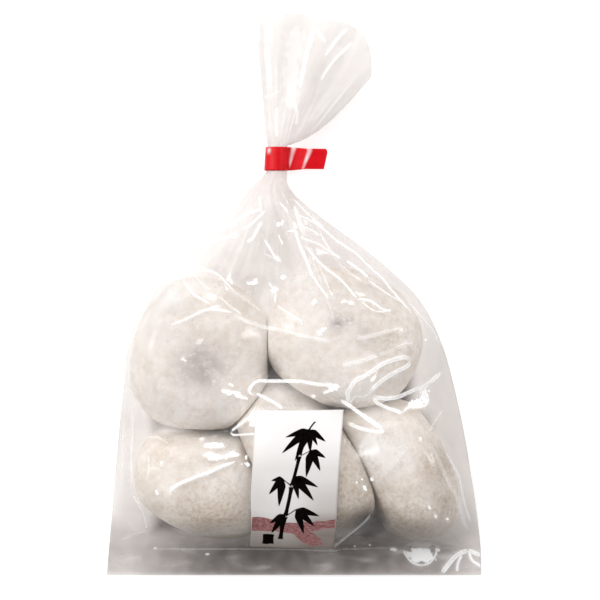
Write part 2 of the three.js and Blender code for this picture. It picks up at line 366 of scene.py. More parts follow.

# Creases of the front film: the points that each runs through, its half width, half the gap between the
# two lines of a doubled crease, and how strong the painted highlight along it is
CREASES = [
    # from the neck over the right shoulder
    ([(-2.9, 138.1), (0.4, 138.1), (1.7, 134.1), (3.4, 130.1), (5.4, 125.5), (7.1, 120.8),
      (8.4, 118.8)], 1.3, 0, 0.95),
    ([(7.1, 120.8), (8.4, 118.8), (11.1, 114.8), (13.7, 111.5)], 0.9, 0, 0.8),
    ([(3.7, 132.8), (6.4, 130.1), (9.7, 126.1), (13.7, 122.5), (17.7, 119.5), (20.4, 116.8),
      (23.1, 113.5), (25.7, 110.8)], 0.9, 0, 0.95),
    ([(24.8, 111.2), (28.4, 110.8), (31.7, 109.5), (35.1, 107.1), (38.7, 106.5)], 1, 0, 0.9),
    ([(26.4, 110.5), (31.1, 106.8), (34.4, 106.1), (37.6, 106.6)], 0.8, 0, 0.7),
    ([(1.7, 135.5), (7.1, 134.1), (11.1, 132.1), (15.1, 129.5), (19.1, 126.8)], 0.9, 0, 0.7),
    ([(18.4, 124.8), (23.1, 120.8), (27.1, 118.1)], 0.8, 0, 0.45),
    ([(0.8, 145.2), (7.1, 142.1), (11.7, 138.8), (16.4, 134.8), (20.4, 132.1), (24.4, 129.5),
      (27.7, 126.1), (31.1, 122.8), (34.4, 120.1), (37.1, 116.8), (40.4, 112.8), (43.1, 109.5),
      (45.1, 107.5), (47.6, 104.8)], 0.9, 0, 0.85),
    ([(-0.4, 151.2), (3.7, 146.8), (7.7, 142.8), (12.4, 139)], 0.8, 0, 0.8),
    ([(20.8, 126.4), (25.7, 122.8), (29.7, 119.5)], 1.1, 0, 0.85),
    ([(28.8, 119.2), (33.7, 115.5), (39.1, 112.1), (43.2, 109.8)], 0.9, 0, 0.6),
    ([(3.6, 140), (7.7, 138.1), (10.4, 136)], 1.4, 0, 0.45),
    ([(10, 124), (12, 120), (14, 115.2)], 0.9, 0, 0.4),
    ([(44.4, 111.2), (49.6, 105.2), (55.1, 98.8), (58.8, 92)], 1.2, 0, 0.35),
    # broad, faint painted sheen over the cakes
    ([(27, 57), (33, 52), (41, 45)], 16, 0, 0.42),
    ([(17, 76), (24, 73.5), (32, 73)], 8, 0, 0.32),
    ([(-50, 111), (-40, 116), (-28, 112)], 11, 0, 0.28),
    # between the neck and the two upper cakes
    ([(-11.9, 135.1), (-9.6, 131.5), (-7.6, 128.1), (-4.9, 125.8)], 0.9, 0, 0.85),
    ([(-6.3, 136.8), (-5.4, 134.8), (-4.3, 132.5)], 0.8, 0, 0.75),
    ([(-12.3, 129.5), (-8.3, 127.5), (-5.6, 126)], 0.9, 0, 0.4),
    ([(-10.3, 118.1), (-8.3, 115.5), (-7.3, 113.5), (-7.6, 109.5)], 1, 0, 0.7),
    ([(-6.9, 108.8), (-2.9, 106.1), (2.4, 102.8), (4, 100.4)], 0.9, 0, 0.7),
    # on the left shoulder
    ([(-32.3, 138.1), (-27.6, 140), (-22.9, 142.1), (-17.6, 145.5), (-12.3, 147.2)], 2, 0, 0.5),
    ([(-20.6, 138.8), (-16.9, 141.1), (-14.3, 143.5), (-11.2, 146.4)], 1.1, 0, 0.8),
    ([(-19, 133.6), (-16.3, 135.5), (-14.9, 138.1), (-12.6, 142.1)], 1.3, 0, 0.9),
    ([(-16.4, 134.8), (-14.8, 138), (-12.8, 141.2)], 0.8, 0, 0.6),
    ([(-14, 152.4), (-13.2, 148.4), (-13, 145.2)], 1.4, 0, 0.5),
    ([(-38, 130.8), (-33.6, 133.2), (-29.2, 135.2), (-24.8, 136.4)], 1.8, 0, 0.35),
    # the swag across the two upper cakes, and the folds above it
    ([(-48.8, 100.8), (-42.9, 103.1), (-38.9, 105.1), (-34.9, 106.8), (-31.6, 107.1), (-26.9, 106.5),
      (-23.6, 105.8)], 1.5, 0, 0.66),
    ([(-23.6, 105.8), (-21.6, 104.1), (-17.6, 102.1), (-11.6, 100.1), (-4.9, 99), (2.4, 96.9),
      (8.4, 95.6), (14.8, 94.4)], 0.9, 0.4, 0.5),
    ([(-42.9, 124.5), (-38.3, 122.5), (-34.3, 122.5), (-29.6, 120.5), (-26.3, 117.1),
      (-22.9, 113.5)], 0.9, 0, 0.7),
    ([(-43.4, 125.2), (-42, 122.8), (-40.8, 120.4)], 1.2, 0, 0.8),
    ([(-44, 118.5), (-41.6, 115.5), (-39.3, 112.8), (-36.3, 111.2), (-33, 109.2)], 1.2, 0, 0.9),
    ([(-39.6, 120.5), (-36.3, 117.5), (-32.8, 114.6)], 0.9, 0, 0.5),
    ([(-29.6, 112.8), (-26.3, 109.5), (-22.9, 106.8), (-20.3, 104.8)], 0.9, 0, 0.55),
    ([(-25.6, 115.5), (-21.6, 112.8), (-16.9, 109.5), (-12.8, 106)], 0.9, 0, 0.4),
    # scratches across the upper right cake
    ([(24.4, 95.5), (31.1, 96.8), (41.7, 100)], 0.6, 0.5, 0.5),
    ([(18.8, 84.8), (23.6, 86), (28.4, 87.4), (33.6, 89.2)], 0.7, 0.5, 0.55),
    ([(33.2, 89), (42.8, 92.6), (47.4, 94.2)], 0.7, 0.6, 0.42),
    # round the top of the middle cake
    ([(-4, 68), (-8.4, 70.8), (-12.4, 72.8), (-15.2, 74.2)], 1.4, 0, 0.95),
    ([(-14.8, 73.6), (-17.2, 74), (-17.4, 75.6), (-16, 77.8), (-14, 78.9), (-10, 78.8), (-3.6, 78.8),
      (2, 78.8), (6.8, 78), (10.8, 77.4), (15.6, 77.3), (18, 76.4)], 0.9, 0.35, 0.85),
    ([(18, 76.8), (15.2, 75.4), (11.2, 74)], 1.4, 0, 0.9),
    # the flap beside the label
    ([(-14.8, 67.6), (-18, 64.4), (-22.8, 60.4), (-24.8, 58.8)], 1.3, 0, 0.95),
    ([(-25, 59.2), (-24, 57.6), (-19.6, 57.8), (-14.8, 58.4)], 1.1, 0, 0.9),
    # the two arrows at the foot of the upper right cake
    ([(22, 68.8), (21.2, 74), (22.4, 76.4), (24.4, 79.2), (27.6, 80.8), (30.8, 82.8), (34.8, 85.6),
      (38.8, 87.2), (42.8, 88.2), (44.8, 88), (46.2, 86.4)], 1.1, 0.5, 0.85),
    ([(46.2, 86.8), (44.4, 84.8), (40.4, 82.8), (36.4, 80.4), (33.2, 78), (30.8, 75.6),
      (29.6, 74)], 1.1, 0.45, 0.85),
    ([(30.4, 74.8), (27.6, 72.8), (24.4, 72.8), (22.8, 71.2), (21.6, 68.8)], 1.1, 0, 0.6),
    ([(18, 71.6), (21.2, 69.6), (24.4, 67.2), (28.4, 64.4), (32.4, 61.6), (35.6, 59.6)], 1.4, 0.3, 0.95),
    ([(35.6, 60.2), (34.8, 58.8), (32.4, 58.8), (28.4, 59.6), (24.4, 60.8), (20.8, 62.6)], 1.2, 0.3, 0.8),
    ([(30.4, 73), (35.6, 72), (40.4, 72.4), (44.4, 74), (48.4, 75.6), (50.8, 76.2), (53.2, 77.6),
      (56.4, 80), (59.2, 82.4)], 0.9, 0.5, 0.9),
    ([(30.8, 72.8), (33.2, 70), (37.2, 68), (40.4, 66.8), (42.8, 65.8)], 0.9, 0.35, 0.85),
    ([(42.4, 66), (45.2, 68), (49.2, 68), (52.4, 68.8), (53.4, 71.6), (51.2, 75.2)], 1.2, 0, 0.95),
    # over the two lower cakes
    ([(-49, 33.6), (-48.6, 35.8), (-45.6, 38.1), (-41.6, 39.8), (-37.6, 41.5), (-33.6, 42.8),
      (-29.6, 44.8), (-24.9, 46.5), (-22.8, 47.4)], 1.7, 0, 1),
    ([(-35.6, 54.4), (-32.4, 52.8), (-27.2, 53.2)], 1.6, 0, 0.7),
    ([(-35.2, 50.4), (-32.4, 48.2), (-28, 48.8), (-22.4, 50.4)], 1.8, 0, 0.95),
    ([(-57.6, 50), (-57.3, 46.4), (-57.6, 40.4)], 1, 0, 0.4),
    ([(-58.8, 56), (-54.4, 56.4), (-49.6, 54.4)], 1.2, 0, 0.4),
    ([(52.2, 55.6), (57.1, 47.5), (61.1, 38.8), (65.1, 30.8), (67.7, 22.8), (70.4, 17.2)], 1.1, 0.4,
     0.32),
    ([(59.6, 51.6), (65.1, 41.5), (67.7, 30.8), (71.2, 20)], 1.2, 0, 0.4),
    ([(60, 67.6), (56.4, 62.8), (53.2, 58)], 1.6, 0, 0.35),
    ([(30.4, 27.2), (28.4, 24.1), (21.7, 17.5), (14.4, 10.8)], 1.4, 0, 0.4),
    # the left side
    ([(-64.3, 33.6), (-60.9, 28.1), (-59.6, 23.5), (-58.9, 18.4)], 1.5, 0, 0.35),
    ([(-58.8, 18.4), (-64.3, 16.8), (-70, 14)], 1.8, 0, 0.3),
    ([(-64.8, 70.8), (-64.4, 58.8), (-64.8, 46), (-64.4, 34)], 1.4, 0, 0.3),
    ([(-68.4, 62.8), (-68.8, 46.8), (-69.2, 30.8)], 1.6, 0, 0.22),
    # the strip at the seam
    ([(-61.6, 10.6), (-41.6, 10.4), (-17.6, 10.6), (2.4, 10.6), (20.4, 10.4), (39.6, 11.2), (54.4, 11),
      (75.2, 11.6)], 0.9, 0, 0.35),
    ([(44, 10.4), (45.6, 7.2), (48, 4.8), (51.6, 4), (54.8, 5), (56.8, 7.6), (58, 10.6)], 1.2, 0, 0.9),
    ([(59.4, 0.4), (61.7, 3.5), (64.4, 6.8), (67.1, 8.8), (70.4, 10.1)], 1.6, 0.4, 0.95),
    ([(70, 10.1), (73.1, 8.8), (75.6, 8)], 1.6, 0.3, 0.9),
    ([(65.7, 1.2), (66.1, 4.8), (67.7, 8.1)], 1.7, 0, 0.9),
    ([(70.4, 9.5), (71.7, 6.1), (74.4, 4.1), (75.6, 3.4)], 1.6, 0, 0.95),
]

# Painted highlights on crumpled spots: place, half length and half width, turn in degrees, and
# strength
GLINTS = [
    ((51, 7.9), (6.2, 3.3), 0, 1), ((40, 10.4), (1.4, 0.72), 0, 0.6), ((57.8, 10), (1.2, 0.64), 0, 0.6),
    ((-5.6, 141.1), (1.8, 1.2), 0, 0.9), ((-23.6, 136.8), (1.2, 1.2), -40, 0.8),
    ((-16.2, 117.5), (2.6, 0.88), 4, 0.85), ((-15, 118.6), (0.8, 1), 0, 0.6),
    ((-4.4, 119.8), (1.2, 0.96), 20, 0.85), ((-7.8, 114.6), (1.28, 1.2), 0, 0.8),
    ((-26, 74.6), (2.8, 1.04), -14, 0.9), ((-21.6, 73.2), (3.2, 1.2), -22, 0.9),
    ((-24.4, 77.2), (1.2, 0.72), -40, 0.7), ((-16.4, 64), (1.6, 3), 0, 0.9),
    ((31.6, 80.4), (0.8, 2.2), -35, 0.6), ((15.6, 76.2), (2.4, 1.4), 0, 0.95),
    ((48.6, 69.4), (4.2, 2.1), 14, 1), ((52, 72.8), (1.7, 3), -15, 1),
    ((50.8, 75.6), (1.6, 0.8), 20, 0.7), ((-31.4, 53.4), (4.6, 1.2), 0, 0.85),
    ((-32, 49.2), (3.4, 1.6), -8, 0.95), ((-24.4, 49.8), (2.8, 1.28), 14, 0.95),
    ((-18.6, 46.2), (1.84, 0.72), -8, 0.9), ((-18.9, 49.2), (0.64, 0.8), 0, 0.7),
    ((-52.4, 46.6), (0.48, 1.04), 30, 0.7), ((-54, 35), (0.56, 1.04), 30, 0.7),
    ((27.8, 36.8), (0.8, 1.36), 25, 0.95), ((30.4, 40.4), (0.88, 0.72), 0, 0.9),
    ((24.7, 39.2), (0.52, 0.52), 0, 0.8), ((26.8, 40.4), (0.48, 0.48), 0, 0.7),
    ((53.4, 29.2), (0.4, 1.0), 20, 0.6), ((56, 25.6), (0.48, 0.8), 20, 0.6),
    ((60.4, 24.1), (0.76, 0.5), -20, 0.6), ((24.4, 12.1), (0.4, 0.56), 0, 0.5),
    ((30.4, 12.5), (0.4, 0.56), 0, 0.5), ((-34.9, 8.4), (0.8, 0.4), 0, 0.5),
    ((-56, 10.8), (0.56, 0.4), 0, 0.4), ((8, 110.1), (0.7, 1.6), -20, 0.4),
    ((19.6, 110.1), (1.2, 0.7), 0, 0.3), ((22.8, 109.8), (1.2, 0.6), 0, 0.3),
    ((11.1, 98.8), (2.2, 1.2), 30, 0.3), ((52.4, 95.2), (0.56, 0.56), 0, 0.6),
    ((50, 56), (0.56, 0.72), 0, 0.35), ((-37.2, 94.4), (1.6, 1), 10, 0.12),
    ((-43.2, 87.2), (1.8, 0.7), -20, 0.6),
]

# Creases of the spread mouth, with painted highlights, given as on the front film
MOUTH_CREASES = [
    ([(12.4, 208.2), (14.8, 211.6), (18.8, 216.8), (21.8, 219.8)], 1, 0, 1),
    ([(10.4, 198), (12.4, 201.6), (16.4, 207.2), (20.4, 211.2), (23.6, 214)], 2, 0, 0.5),
    ([(2, 194.8), (3.6, 202.4), (5.2, 209.6), (6.8, 215.2), (8, 220.4)], 2.6, 0, 0.4),
    ([(7.6, 220.4), (10, 217.2), (12.8, 213.6)], 1.3, 0, 0.5),
    ([(-11.2, 214), (-10.6, 206), (-9.6, 196)], 2.8, 0, 0.3),
    ([(-1.4, 186), (-1.2, 198), (-0.4, 209), (1.4, 221)], 9, 0, 0.24),
    ([(9, 192), (12, 200), (16, 208), (19, 213)], 6, 0, 0.14),
    ([(-12, 191.8), (-9.2, 192.8), (-5.6, 194.4)], 1.4, 0, 0.35),
    ([(-0.4, 190.8), (1.2, 186), (0.8, 180.4)], 2.2, 0, 0.35),
    ([(-6.8, 188.4), (-7.2, 182.8), (-6.8, 175.6)], 1.8, 0, 0.4),
]


def from_seam(points):
    """Points of a mesh, with y counted from the bottom seam."""
    return points - np.array([0, SEAM_Y, 0])


def smooth_line(corners, spacing=0.8):
    """Points along a smooth curve through the corners."""
    pts = [np.array(p, dtype=float) for p in corners]
    pts = [2 * pts[0] - pts[1]] + pts + [2 * pts[-1] - pts[-2]]
    line = []
    for a, b, c, d in zip(pts, pts[1:], pts[2:], pts[3:]):
        steps = max(2, int(np.linalg.norm(c - b) / spacing))
        for i in range(steps):
            t = i / steps
            line.append(0.5 * (2 * b + (c - a) * t + (2 * a - 5 * b + 4 * c - d) * t ** 2
                               + (3 * b - a - 3 * c + d) * t ** 3))
    return np.array(line + [pts[-2]])


def crest(flat, corners, width, gap, ragged):
    """Two levels from 0 to 1 for a crease: how far it is raised, and how white its painted highlight is. A
    doubled crease is whitest along its two lines. ragged is a noise that makes its edges uneven."""
    line = smooth_line(corners)
    reach = 4 * width + gap
    near = np.all((flat > line.min(0) - reach) & (flat < line.max(0) + reach), axis=1)
    spots = flat[near]
    best = np.full(len(spots), np.inf)
    where = np.zeros(len(spots))
    for i, (a, b) in enumerate(zip(line, line[1:])):
        along = b - a
        share = np.clip(((spots - a) @ along) / (along @ along), 0, 1)
        distance = np.linalg.norm(spots - a - share[:, None] * along, axis=1)
        closer = distance < best
        best[closer] = distance[closer]
        where[closer] = (i + share[closer]) / (len(line) - 1)
    ends = between(where, 0, 0.12, 0.88, 1)
    best = np.maximum(best + 0.22 * ragged[near], 0)
    beyond = np.maximum(best - gap, 0)
    raised, white = np.zeros((2, len(flat)))
    raised[near] = ends * ridge(beyond, 0.7 * width)
    half = width * (0.31 + 0.15 * ragged[near]) * (0.4 + 0.6 * ends)
    hollow = 0.32 * smoothstep(gap - best, 0, 0.3)
    white[near] = ends ** 0.5 / (1 + (beyond / half) ** 4) * (1 - hollow)
    return raised, white


def creased(flat, creases, ragged, height, contrast):
    """How far creases of this height lift each point, and how white their painted highlights make it. The
    higher the contrast, the fainter the weak ones are."""
    lift, white = np.zeros((2, len(flat)))
    for corners, width, gap, strength in creases:
        raised, pale = crest(flat, corners, width, gap, ragged)
        lift = np.maximum(lift, height * strength * raised)
        white = np.maximum(white, strength ** contrast * pale)
    return lift, white


def blob(flat, place, size, turn, ragged):
    """1 over a crumpled spot of about that half length and half width, 0 round it."""
    turn = math.radians(turn)
    off = flat - np.array(place)
    long = (off @ np.array([math.cos(turn), math.sin(turn)])) / size[0]
    wide = (off @ np.array([-math.sin(turn), math.cos(turn)])) / size[1]
    frayed = min(0.55, 1.1 / size[0])
    return 1 - smoothstep(np.hypot(long, wide) + frayed * ragged, 0.7, 1.1)


def around_neck(points):
    """Distance from the middle of the tied neck in plan, and the angle there from the bag's middle
    line."""
    dx = points[:, 0] - NECK_X
    dy = NECK_Y + 4 - points[:, 1]
    return np.hypot(dx, dy), np.arctan2(dx, dy)


def gather(radius, angle, turn, reach, width):
    """0 to 1 on one fine fold that runs straight out of the tie. reach holds the distances at which it
    starts, is full, fades and ends."""
    # what lies on the other side of the tie counts as far off
    across = radius * np.abs(np.sin(angle - turn)) + 100 * (np.cos(angle - turn) < 0)
    return between(radius, *reach) * ridge(across, 0.6 * width)


def in_label(points, margin):
    """1 under the label, fading out over the margin."""
    middle = (np.array(LABEL_TOP) + np.array(LABEL_FOOT)) / 2
    up = np.array(LABEL_TOP) - np.array(LABEL_FOOT)
    length = np.linalg.norm(up)
    up = up / length
    flat = points[:, :2] - middle
    along = np.abs(flat @ up) - length / 2
    across = np.abs(flat @ np.array([up[1], -up[0]])) - LABEL_WIDTH / 2
    return 1 - smoothstep(np.maximum(along, across), 0, margin)


def even_out(bm, points, rounds):
    """Softens the pleats up and down, and keeps the outline."""
    for _ in range(rounds):
        bmesh.ops.smooth_vert(
            bm, verts=points, factor=0.5, use_axis_x=False, use_axis_y=False, use_axis_z=True)


def film_cage():
    """The CAD bag welded into quads: the coarse cage of the film, with its mouth opened and its panels
    told apart by material."""
    bm = bmesh.new()
    bm.from_mesh(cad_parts["bag"].data)
    bmesh.ops.remove_doubles(bm, verts=bm.verts, dist=WELD * MM)
    bmesh.ops.join_triangles(
        bm, faces=bm.faces, angle_face_threshold=math.pi, angle_shape_threshold=math.pi)
    bm.normal_update()
    cap = [
        f for f in bm.faces
        if f.normal.dot(MOUTH_OPENS) > 0.6 and f.calc_center_median().y > (SEAM_Y + RIM_Y) * MM
    ]
    bmesh.ops.delete(bm, geom=cap, context="FACES")
    mouth = [v for v in bm.verts if v.co.y > (SEAM_Y + TAPE_TOP_Y + 4) * MM]
    even_out(bm, mouth, rounds=40)
    shoulders = [v for v in bm.verts if SHOULDER_Y < v.co.y / MM - SEAM_Y < NECK_Y - 2]
    even_out(bm, shoulders, rounds=4)
    folds = bm.edges.layers.float.new("crease_edge")
    for edge in bm.edges:
        if len(edge.link_faces) == 2 and edge.calc_face_angle() > math.radians(FOLD_ANGLE):
            edge[folds] = 1.0
    neck_y = (SEAM_Y + (NECK_Y + TAPE_TOP_Y) / 2) * MM
    for face in bm.faces:
        if face.calc_center_median().y > neck_y:
            face.material_index = MOUTH
        else:
            face.material_index = FRONT if face.normal.z > 0.05 else BACK
    cage = make_object("film_cage", mesh_from(bm, "film_cage"))
    for name in ("front", "back", "mouth"):
        cage.data.materials.append(bpy.data.materials.new(name))
    return cage


def film_panel(name, shell, panel, levels):
    """One panel cut out of the whole film, with a finer mesh."""
    bm = bmesh.new()
    bm.from_mesh(shell)
    others = [f for f in bm.faces if f.material_index != panel]
    bmesh.ops.delete(bm, geom=others, context="FACES")
    for face in bm.faces:
        face.material_index = 0
    piece = make_object(name, mesh_from(bm, name))
    if levels:
        apply_modifiers(piece, subdivision(levels))
    return piece


def edge_distance(mesh):
    """How far each point is from the panel's own edge."""
    bm = bmesh.new()
    bm.from_mesh(mesh)
    rim = [v.co.copy() for v in bm.verts if v.is_boundary]
    tree = KDTree(len(rim))
    for i, co in enumerate(rim):
        tree.insert(co, i)
    tree.balance()
    far = np.array([tree.find(v.co)[2] for v in bm.verts]) / MM
    bm.free()
    return far


def stick_to_label(mesh):
    """Where the film carries the label, it lies flat against the label's back."""
    points = points_of(mesh)
    near = in_label(from_seam(points), 4)
    label = tree_of(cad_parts["label"].data)
    for i in np.nonzero(near)[0]:
        below = Vector((points[i, 0], points[i, 1], UNDER)) * MM
        spot = label.ray_cast(below, UP)[0]
        if spot is None:
            spot = label.find_nearest(Vector(points[i]) * MM)[0]
        points[i, 2] += near[i] * (spot.z / MM - GLUE - points[i, 2])
    set_points(mesh, points)


def crumple_front(mesh, rim):
    """Creases, gathers and slack. Gives how white each point is with painted highlights."""
    stick_to_label(mesh)
    points = from_seam(points_of(mesh))
    flat = points[:, :2]
    ragged = soft_noise(points, 1.6, 9.3) + 0.5 * soft_noise(points, 0.7, 2.9)
    lift, white = creased(flat, CREASES, ragged, height=0.4, contrast=1.5)
    radius, angle = around_neck(points)
    # fine gathers that run out of the neck, most and sharpest towards the right shoulder, each with a
    # painted highlight
    rng = random.Random(4)
    count = 24
    for i in range(count):
        degrees = -58 + 118 * (i + rng.uniform(-0.45, 0.45)) / (count - 1)
        start = rng.uniform(10, 30)
        end = start + rng.uniform(20, 52)
        width = rng.uniform(0.7, 1.3)
        height = rng.uniform(0.12, 0.3)
        height *= np.interp(degrees, [-60, -20, 5, 25, 60], [0.7, 0.4, 0.1, 0.7, 1.0])
        reach = (start - 4, start + 8, end - 18, end)
        level = gather(radius, angle, math.radians(degrees), reach, width)
        lift = np.maximum(lift, height * level)
        white = np.maximum(white, 0.9 * height * level ** 1.5)
    tight = 1 - smoothstep(radius, 6, 16)
    lift += 0.04 * tight * np.cos(angle * 11)
    # painted highlights on crumpled spots
    for place, size, turn, strength in GLINTS:
        white = np.maximum(white, strength ** 0.5 * blob(flat, place, size, turn, ragged))
    # slack film between the creases
    slack = soft_noise(points, 19, 3.1) * 0.22 + soft_noise(points, 8, 8.4) * 0.06
    on_cakes = smoothstep(points[:, 1], STRIP_TOP, STRIP_TOP + 8)
    lift += slack * (0.35 + 0.65 * on_cakes)
    free = (1 - in_label(points, 3.5)) * smoothstep(rim, 0, 3)
    set_points(mesh, points_of(mesh) + normals_of(mesh) * (lift * free)[:, None])
    return white * (1 - in_label(points, 0.5)) * smoothstep(rim, 0, 0.6)


def crumple_back(mesh, rim):
    """Gathers at the neck, and a slack that dies out where the bag lies on the table."""
    points = from_seam(points_of(mesh))
    radius, angle = around_neck(points)
    lift = 0.3 * (1 - smoothstep(radius, 6, 24)) * np.cos(angle * 15)
    gathers = np.maximum(soft_noise(np.c_[angle * 22, radius * 0.06, radius * 0], 2.6, 5.0), 0)
    lift += 0.9 * gathers * between(radius, 8, 20, 45, 75)
    lift += 0.3 * soft_noise(points, 12, 1.3) * smoothstep(points[:, 2], 1.5, 6)
    lift *= smoothstep(rim, 0, 3)
    # the underside never dips below the table
    moved = points_of(mesh) + normals_of(mesh) * lift[:, None]
    moved[:, 2] = np.maximum(moved[:, 2], 0)
    set_points(mesh, moved)
    return np.zeros(len(points))


def crumple_mouth(mesh, rim):
    """Gathers that fan out of the tape, and a fluttering rim. Gives how white each point is with painted
    highlights.
    """
    points = from_seam(points_of(mesh))
    # seen from a point just below the tape
    dx = points[:, 0] - NECK_X
    dy = points[:, 1] - TAPE_TOP_Y + 12
    radius = np.hypot(dx, dy)
    angle = np.arctan2(dx, dy)
    upper = normals_of(mesh)[:, 2] > 0
    ragged = soft_noise(points, 2.4, 5.3)
    lift, white = creased(points[:, :2], MOUTH_CREASES, ragged, height=0.3, contrast=1.0)
    lift, white = lift * upper, white * upper
    rng = random.Random(9)
    count = 17
    for i in range(count):
        turn = math.radians(-12 + 62 * (i + rng.uniform(-0.4, 0.4)) / (count - 1))
        start = rng.uniform(10, 26)
        end = start + rng.uniform(14, 40)
        width = rng.uniform(0.8, 1.6)
        here = upper if rng.random() < 0.65 else ~upper
        height = rng.uniform(0.08, 0.25)
        level = here * gather(radius, angle, turn, (start - 5, start + 8, end - 14, end), width)
        lift = np.maximum(lift, height * level)
        white = np.maximum(white, 0.8 * height * level)
    lift += 0.06 * (1 - smoothstep(radius, 13, 22)) * np.cos(angle * 30)
    lift += soft_noise(points, 13, 6.6) * 0.25 * smoothstep(radius, 20, 40)
    free = smoothstep(rim, 0, 2.5)
    set_points(mesh, points_of(mesh) + normals_of(mesh) * (lift * free)[:, None])
    return white * free


# Painted sheen: patches where the film is drawn cloudier and paler: place, half length and half width, and
# how much
PAINTED_SHEEN = [
    ((-12, 117), (8, 11), 0.3), ((-11, 106), (5, 8), 0.2), ((-33, 128), (16, 9), 0.4),
    ((-22, 142), (10, 8), 0.3), ((-50, 114), (14, 12), 0.55), ((-57, 101), (8, 14), 0.45),
    ((-63, 84), (4, 12), 0.3), ((-50.6, 59.4), (8, 4), 0.45), ((4, 118), (12, 8), 0.2),
    ((30, 118), (16, 9), 0.06), ((-11, 150), (4, 9), 0.3), ((1, 203), (6, 14), 0.25),
    ((14, 206), (5, 9), 0.1), ((-66, 62), (5, 30), 0.14), ((34, 50), (10, 9), 0.42),
    ((-36, 70), (20, 9), 0.1), ((-17, 34), (5, 6), 0.22), ((-5, 74.5), (7, 4), 0.4),
    ((22, 74.5), (8, 4), 0.25), ((33, 66.5), (8, 4), 0.3), ((16, 76), (14, 6), 0.1),
    ((-30, 52), (12, 5), 0.16),
]
# Painted shade on the film, over the hollows between the cakes and where its folds would shade it: place,
# half length and half width, and how much
HOLLOWS = [
    ((30.4, 22.4), (5.2, 5.4), 1.4), ((21, 22), (7, 6), 0.34), ((46, 18.5), (14, 6), 0.17),
    ((20, 12), (6, 6), 0.08), ((15.5, 68.4), (4.6, 1.9), 0.8), ((-10.4, 87), (1.2, 3), 0.3),
    ((19.6, 64.6), (3, 4), 0.3), ((-6.8, 81.4), (1.5, 2.2), 0.3), ((-64, 35), (5, 6), 0.04),
    ((-34, 59), (7, 2), 0.34), ((-63, 26.5), (7, 4), 0.07), ((-57, 26), (6, 4), 0.08),
    ((-2, 152), (3, 7), 0.08), ((14, 186), (6, 7), 0.06), ((-9.6, 82), (2.6, 5), 0.6),
    ((62, 42), (6, 14), 0.03), ((-66, 50), (8, 20), 0.03), ((67, 22), (8, 11), 0.08),
    ((-26.4, 58.4), (5, 2.6), 0.45), ((6, 180), (9, 8), 0.14), ((11, 198), (9, 8), 0.1),
]
# The next lists go together in twos: places, and what is found there.
# Painted shade where folds lie flat on one another under the neck: y from the seam, and x of their left or
# right ends
FLAT_FOLDS_LEFT = ([103, 112, 117, 121, 126, 135, 145, 155], [-14, -18, -22, -32, -34, -24, -16, -12])
FLAT_FOLDS_RIGHT = ([103, 125, 155], [-6, 0, -6])
# Painted shade on the film: from the left end of the seam to its right end, times up from the seam
PAINTED_SHADE_ACROSS = (
    [-73, -66, -56, -40, -27, 20, 38, 46, 60, 72],
    [0.21, 0.18, 0.31, 0.47, 0.56, 0.57, 0.54, 0.43, 0.28, 0.1],
)
PAINTED_SHADE_UP = ([0, 1, 2.5, 6, 10, 11.4, 13, 17, 25], [0.5, 0.8, 0.89, 0.98, 1.02, 1.0, 0.87, 0.8, 0.06])


def haze_and_sheen_of(points, upper, haze):
    """How milky the film is at each point: the flat bag is 151 mm wide, so where it is narrower its folds
    lie over one another. Painted sheen is added in patches, and painted highlights as smears in the strip
    at the seam."""
    x, y, z = points.T
    radius, angle = around_neck(points)
    gathered = 1 - smoothstep(radius, 4, 62)
    beyond = smoothstep(y, NECK_Y, TAPE_TOP_Y)
    fan = beyond * (0.5 - 0.12 * smoothstep(y, TAPE_TOP_Y + 8, TAPE_TOP_Y + 45))
    haze_and_sheen = haze + 0.3 * gathered ** 1.6 * (1 - beyond) + fan
    haze_and_sheen += 0.05 * soft_noise(points, 20, 2.2) * (0.3 + gathered)
    streaks = np.maximum(soft_noise(np.c_[angle * 40, radius * 0.12, z * 0.05], 3, 6.1), 0)
    haze_and_sheen += 0.16 * streaks * between(radius, 12, 40, 70, 115) * upper
    uneven = 1 + 0.5 * soft_noise(points, 7, 3.3)
    # painted sheen in patches
    for place, size, strength in PAINTED_SHEEN:
        haze_and_sheen += strength * uneven * hill(x, y, place, size) * upper
    # painted highlights: pale smears across the strip at the seam
    strip = 1 - smoothstep(y, STRIP_TOP - 2, STRIP_TOP)
    smears = np.maximum(soft_noise(points * np.array([0.35, 1, 1]), 3.2, 8.8), 0)
    return np.clip(haze_and_sheen + 0.3 * strip * smears ** 2, 0.01, 0.95)


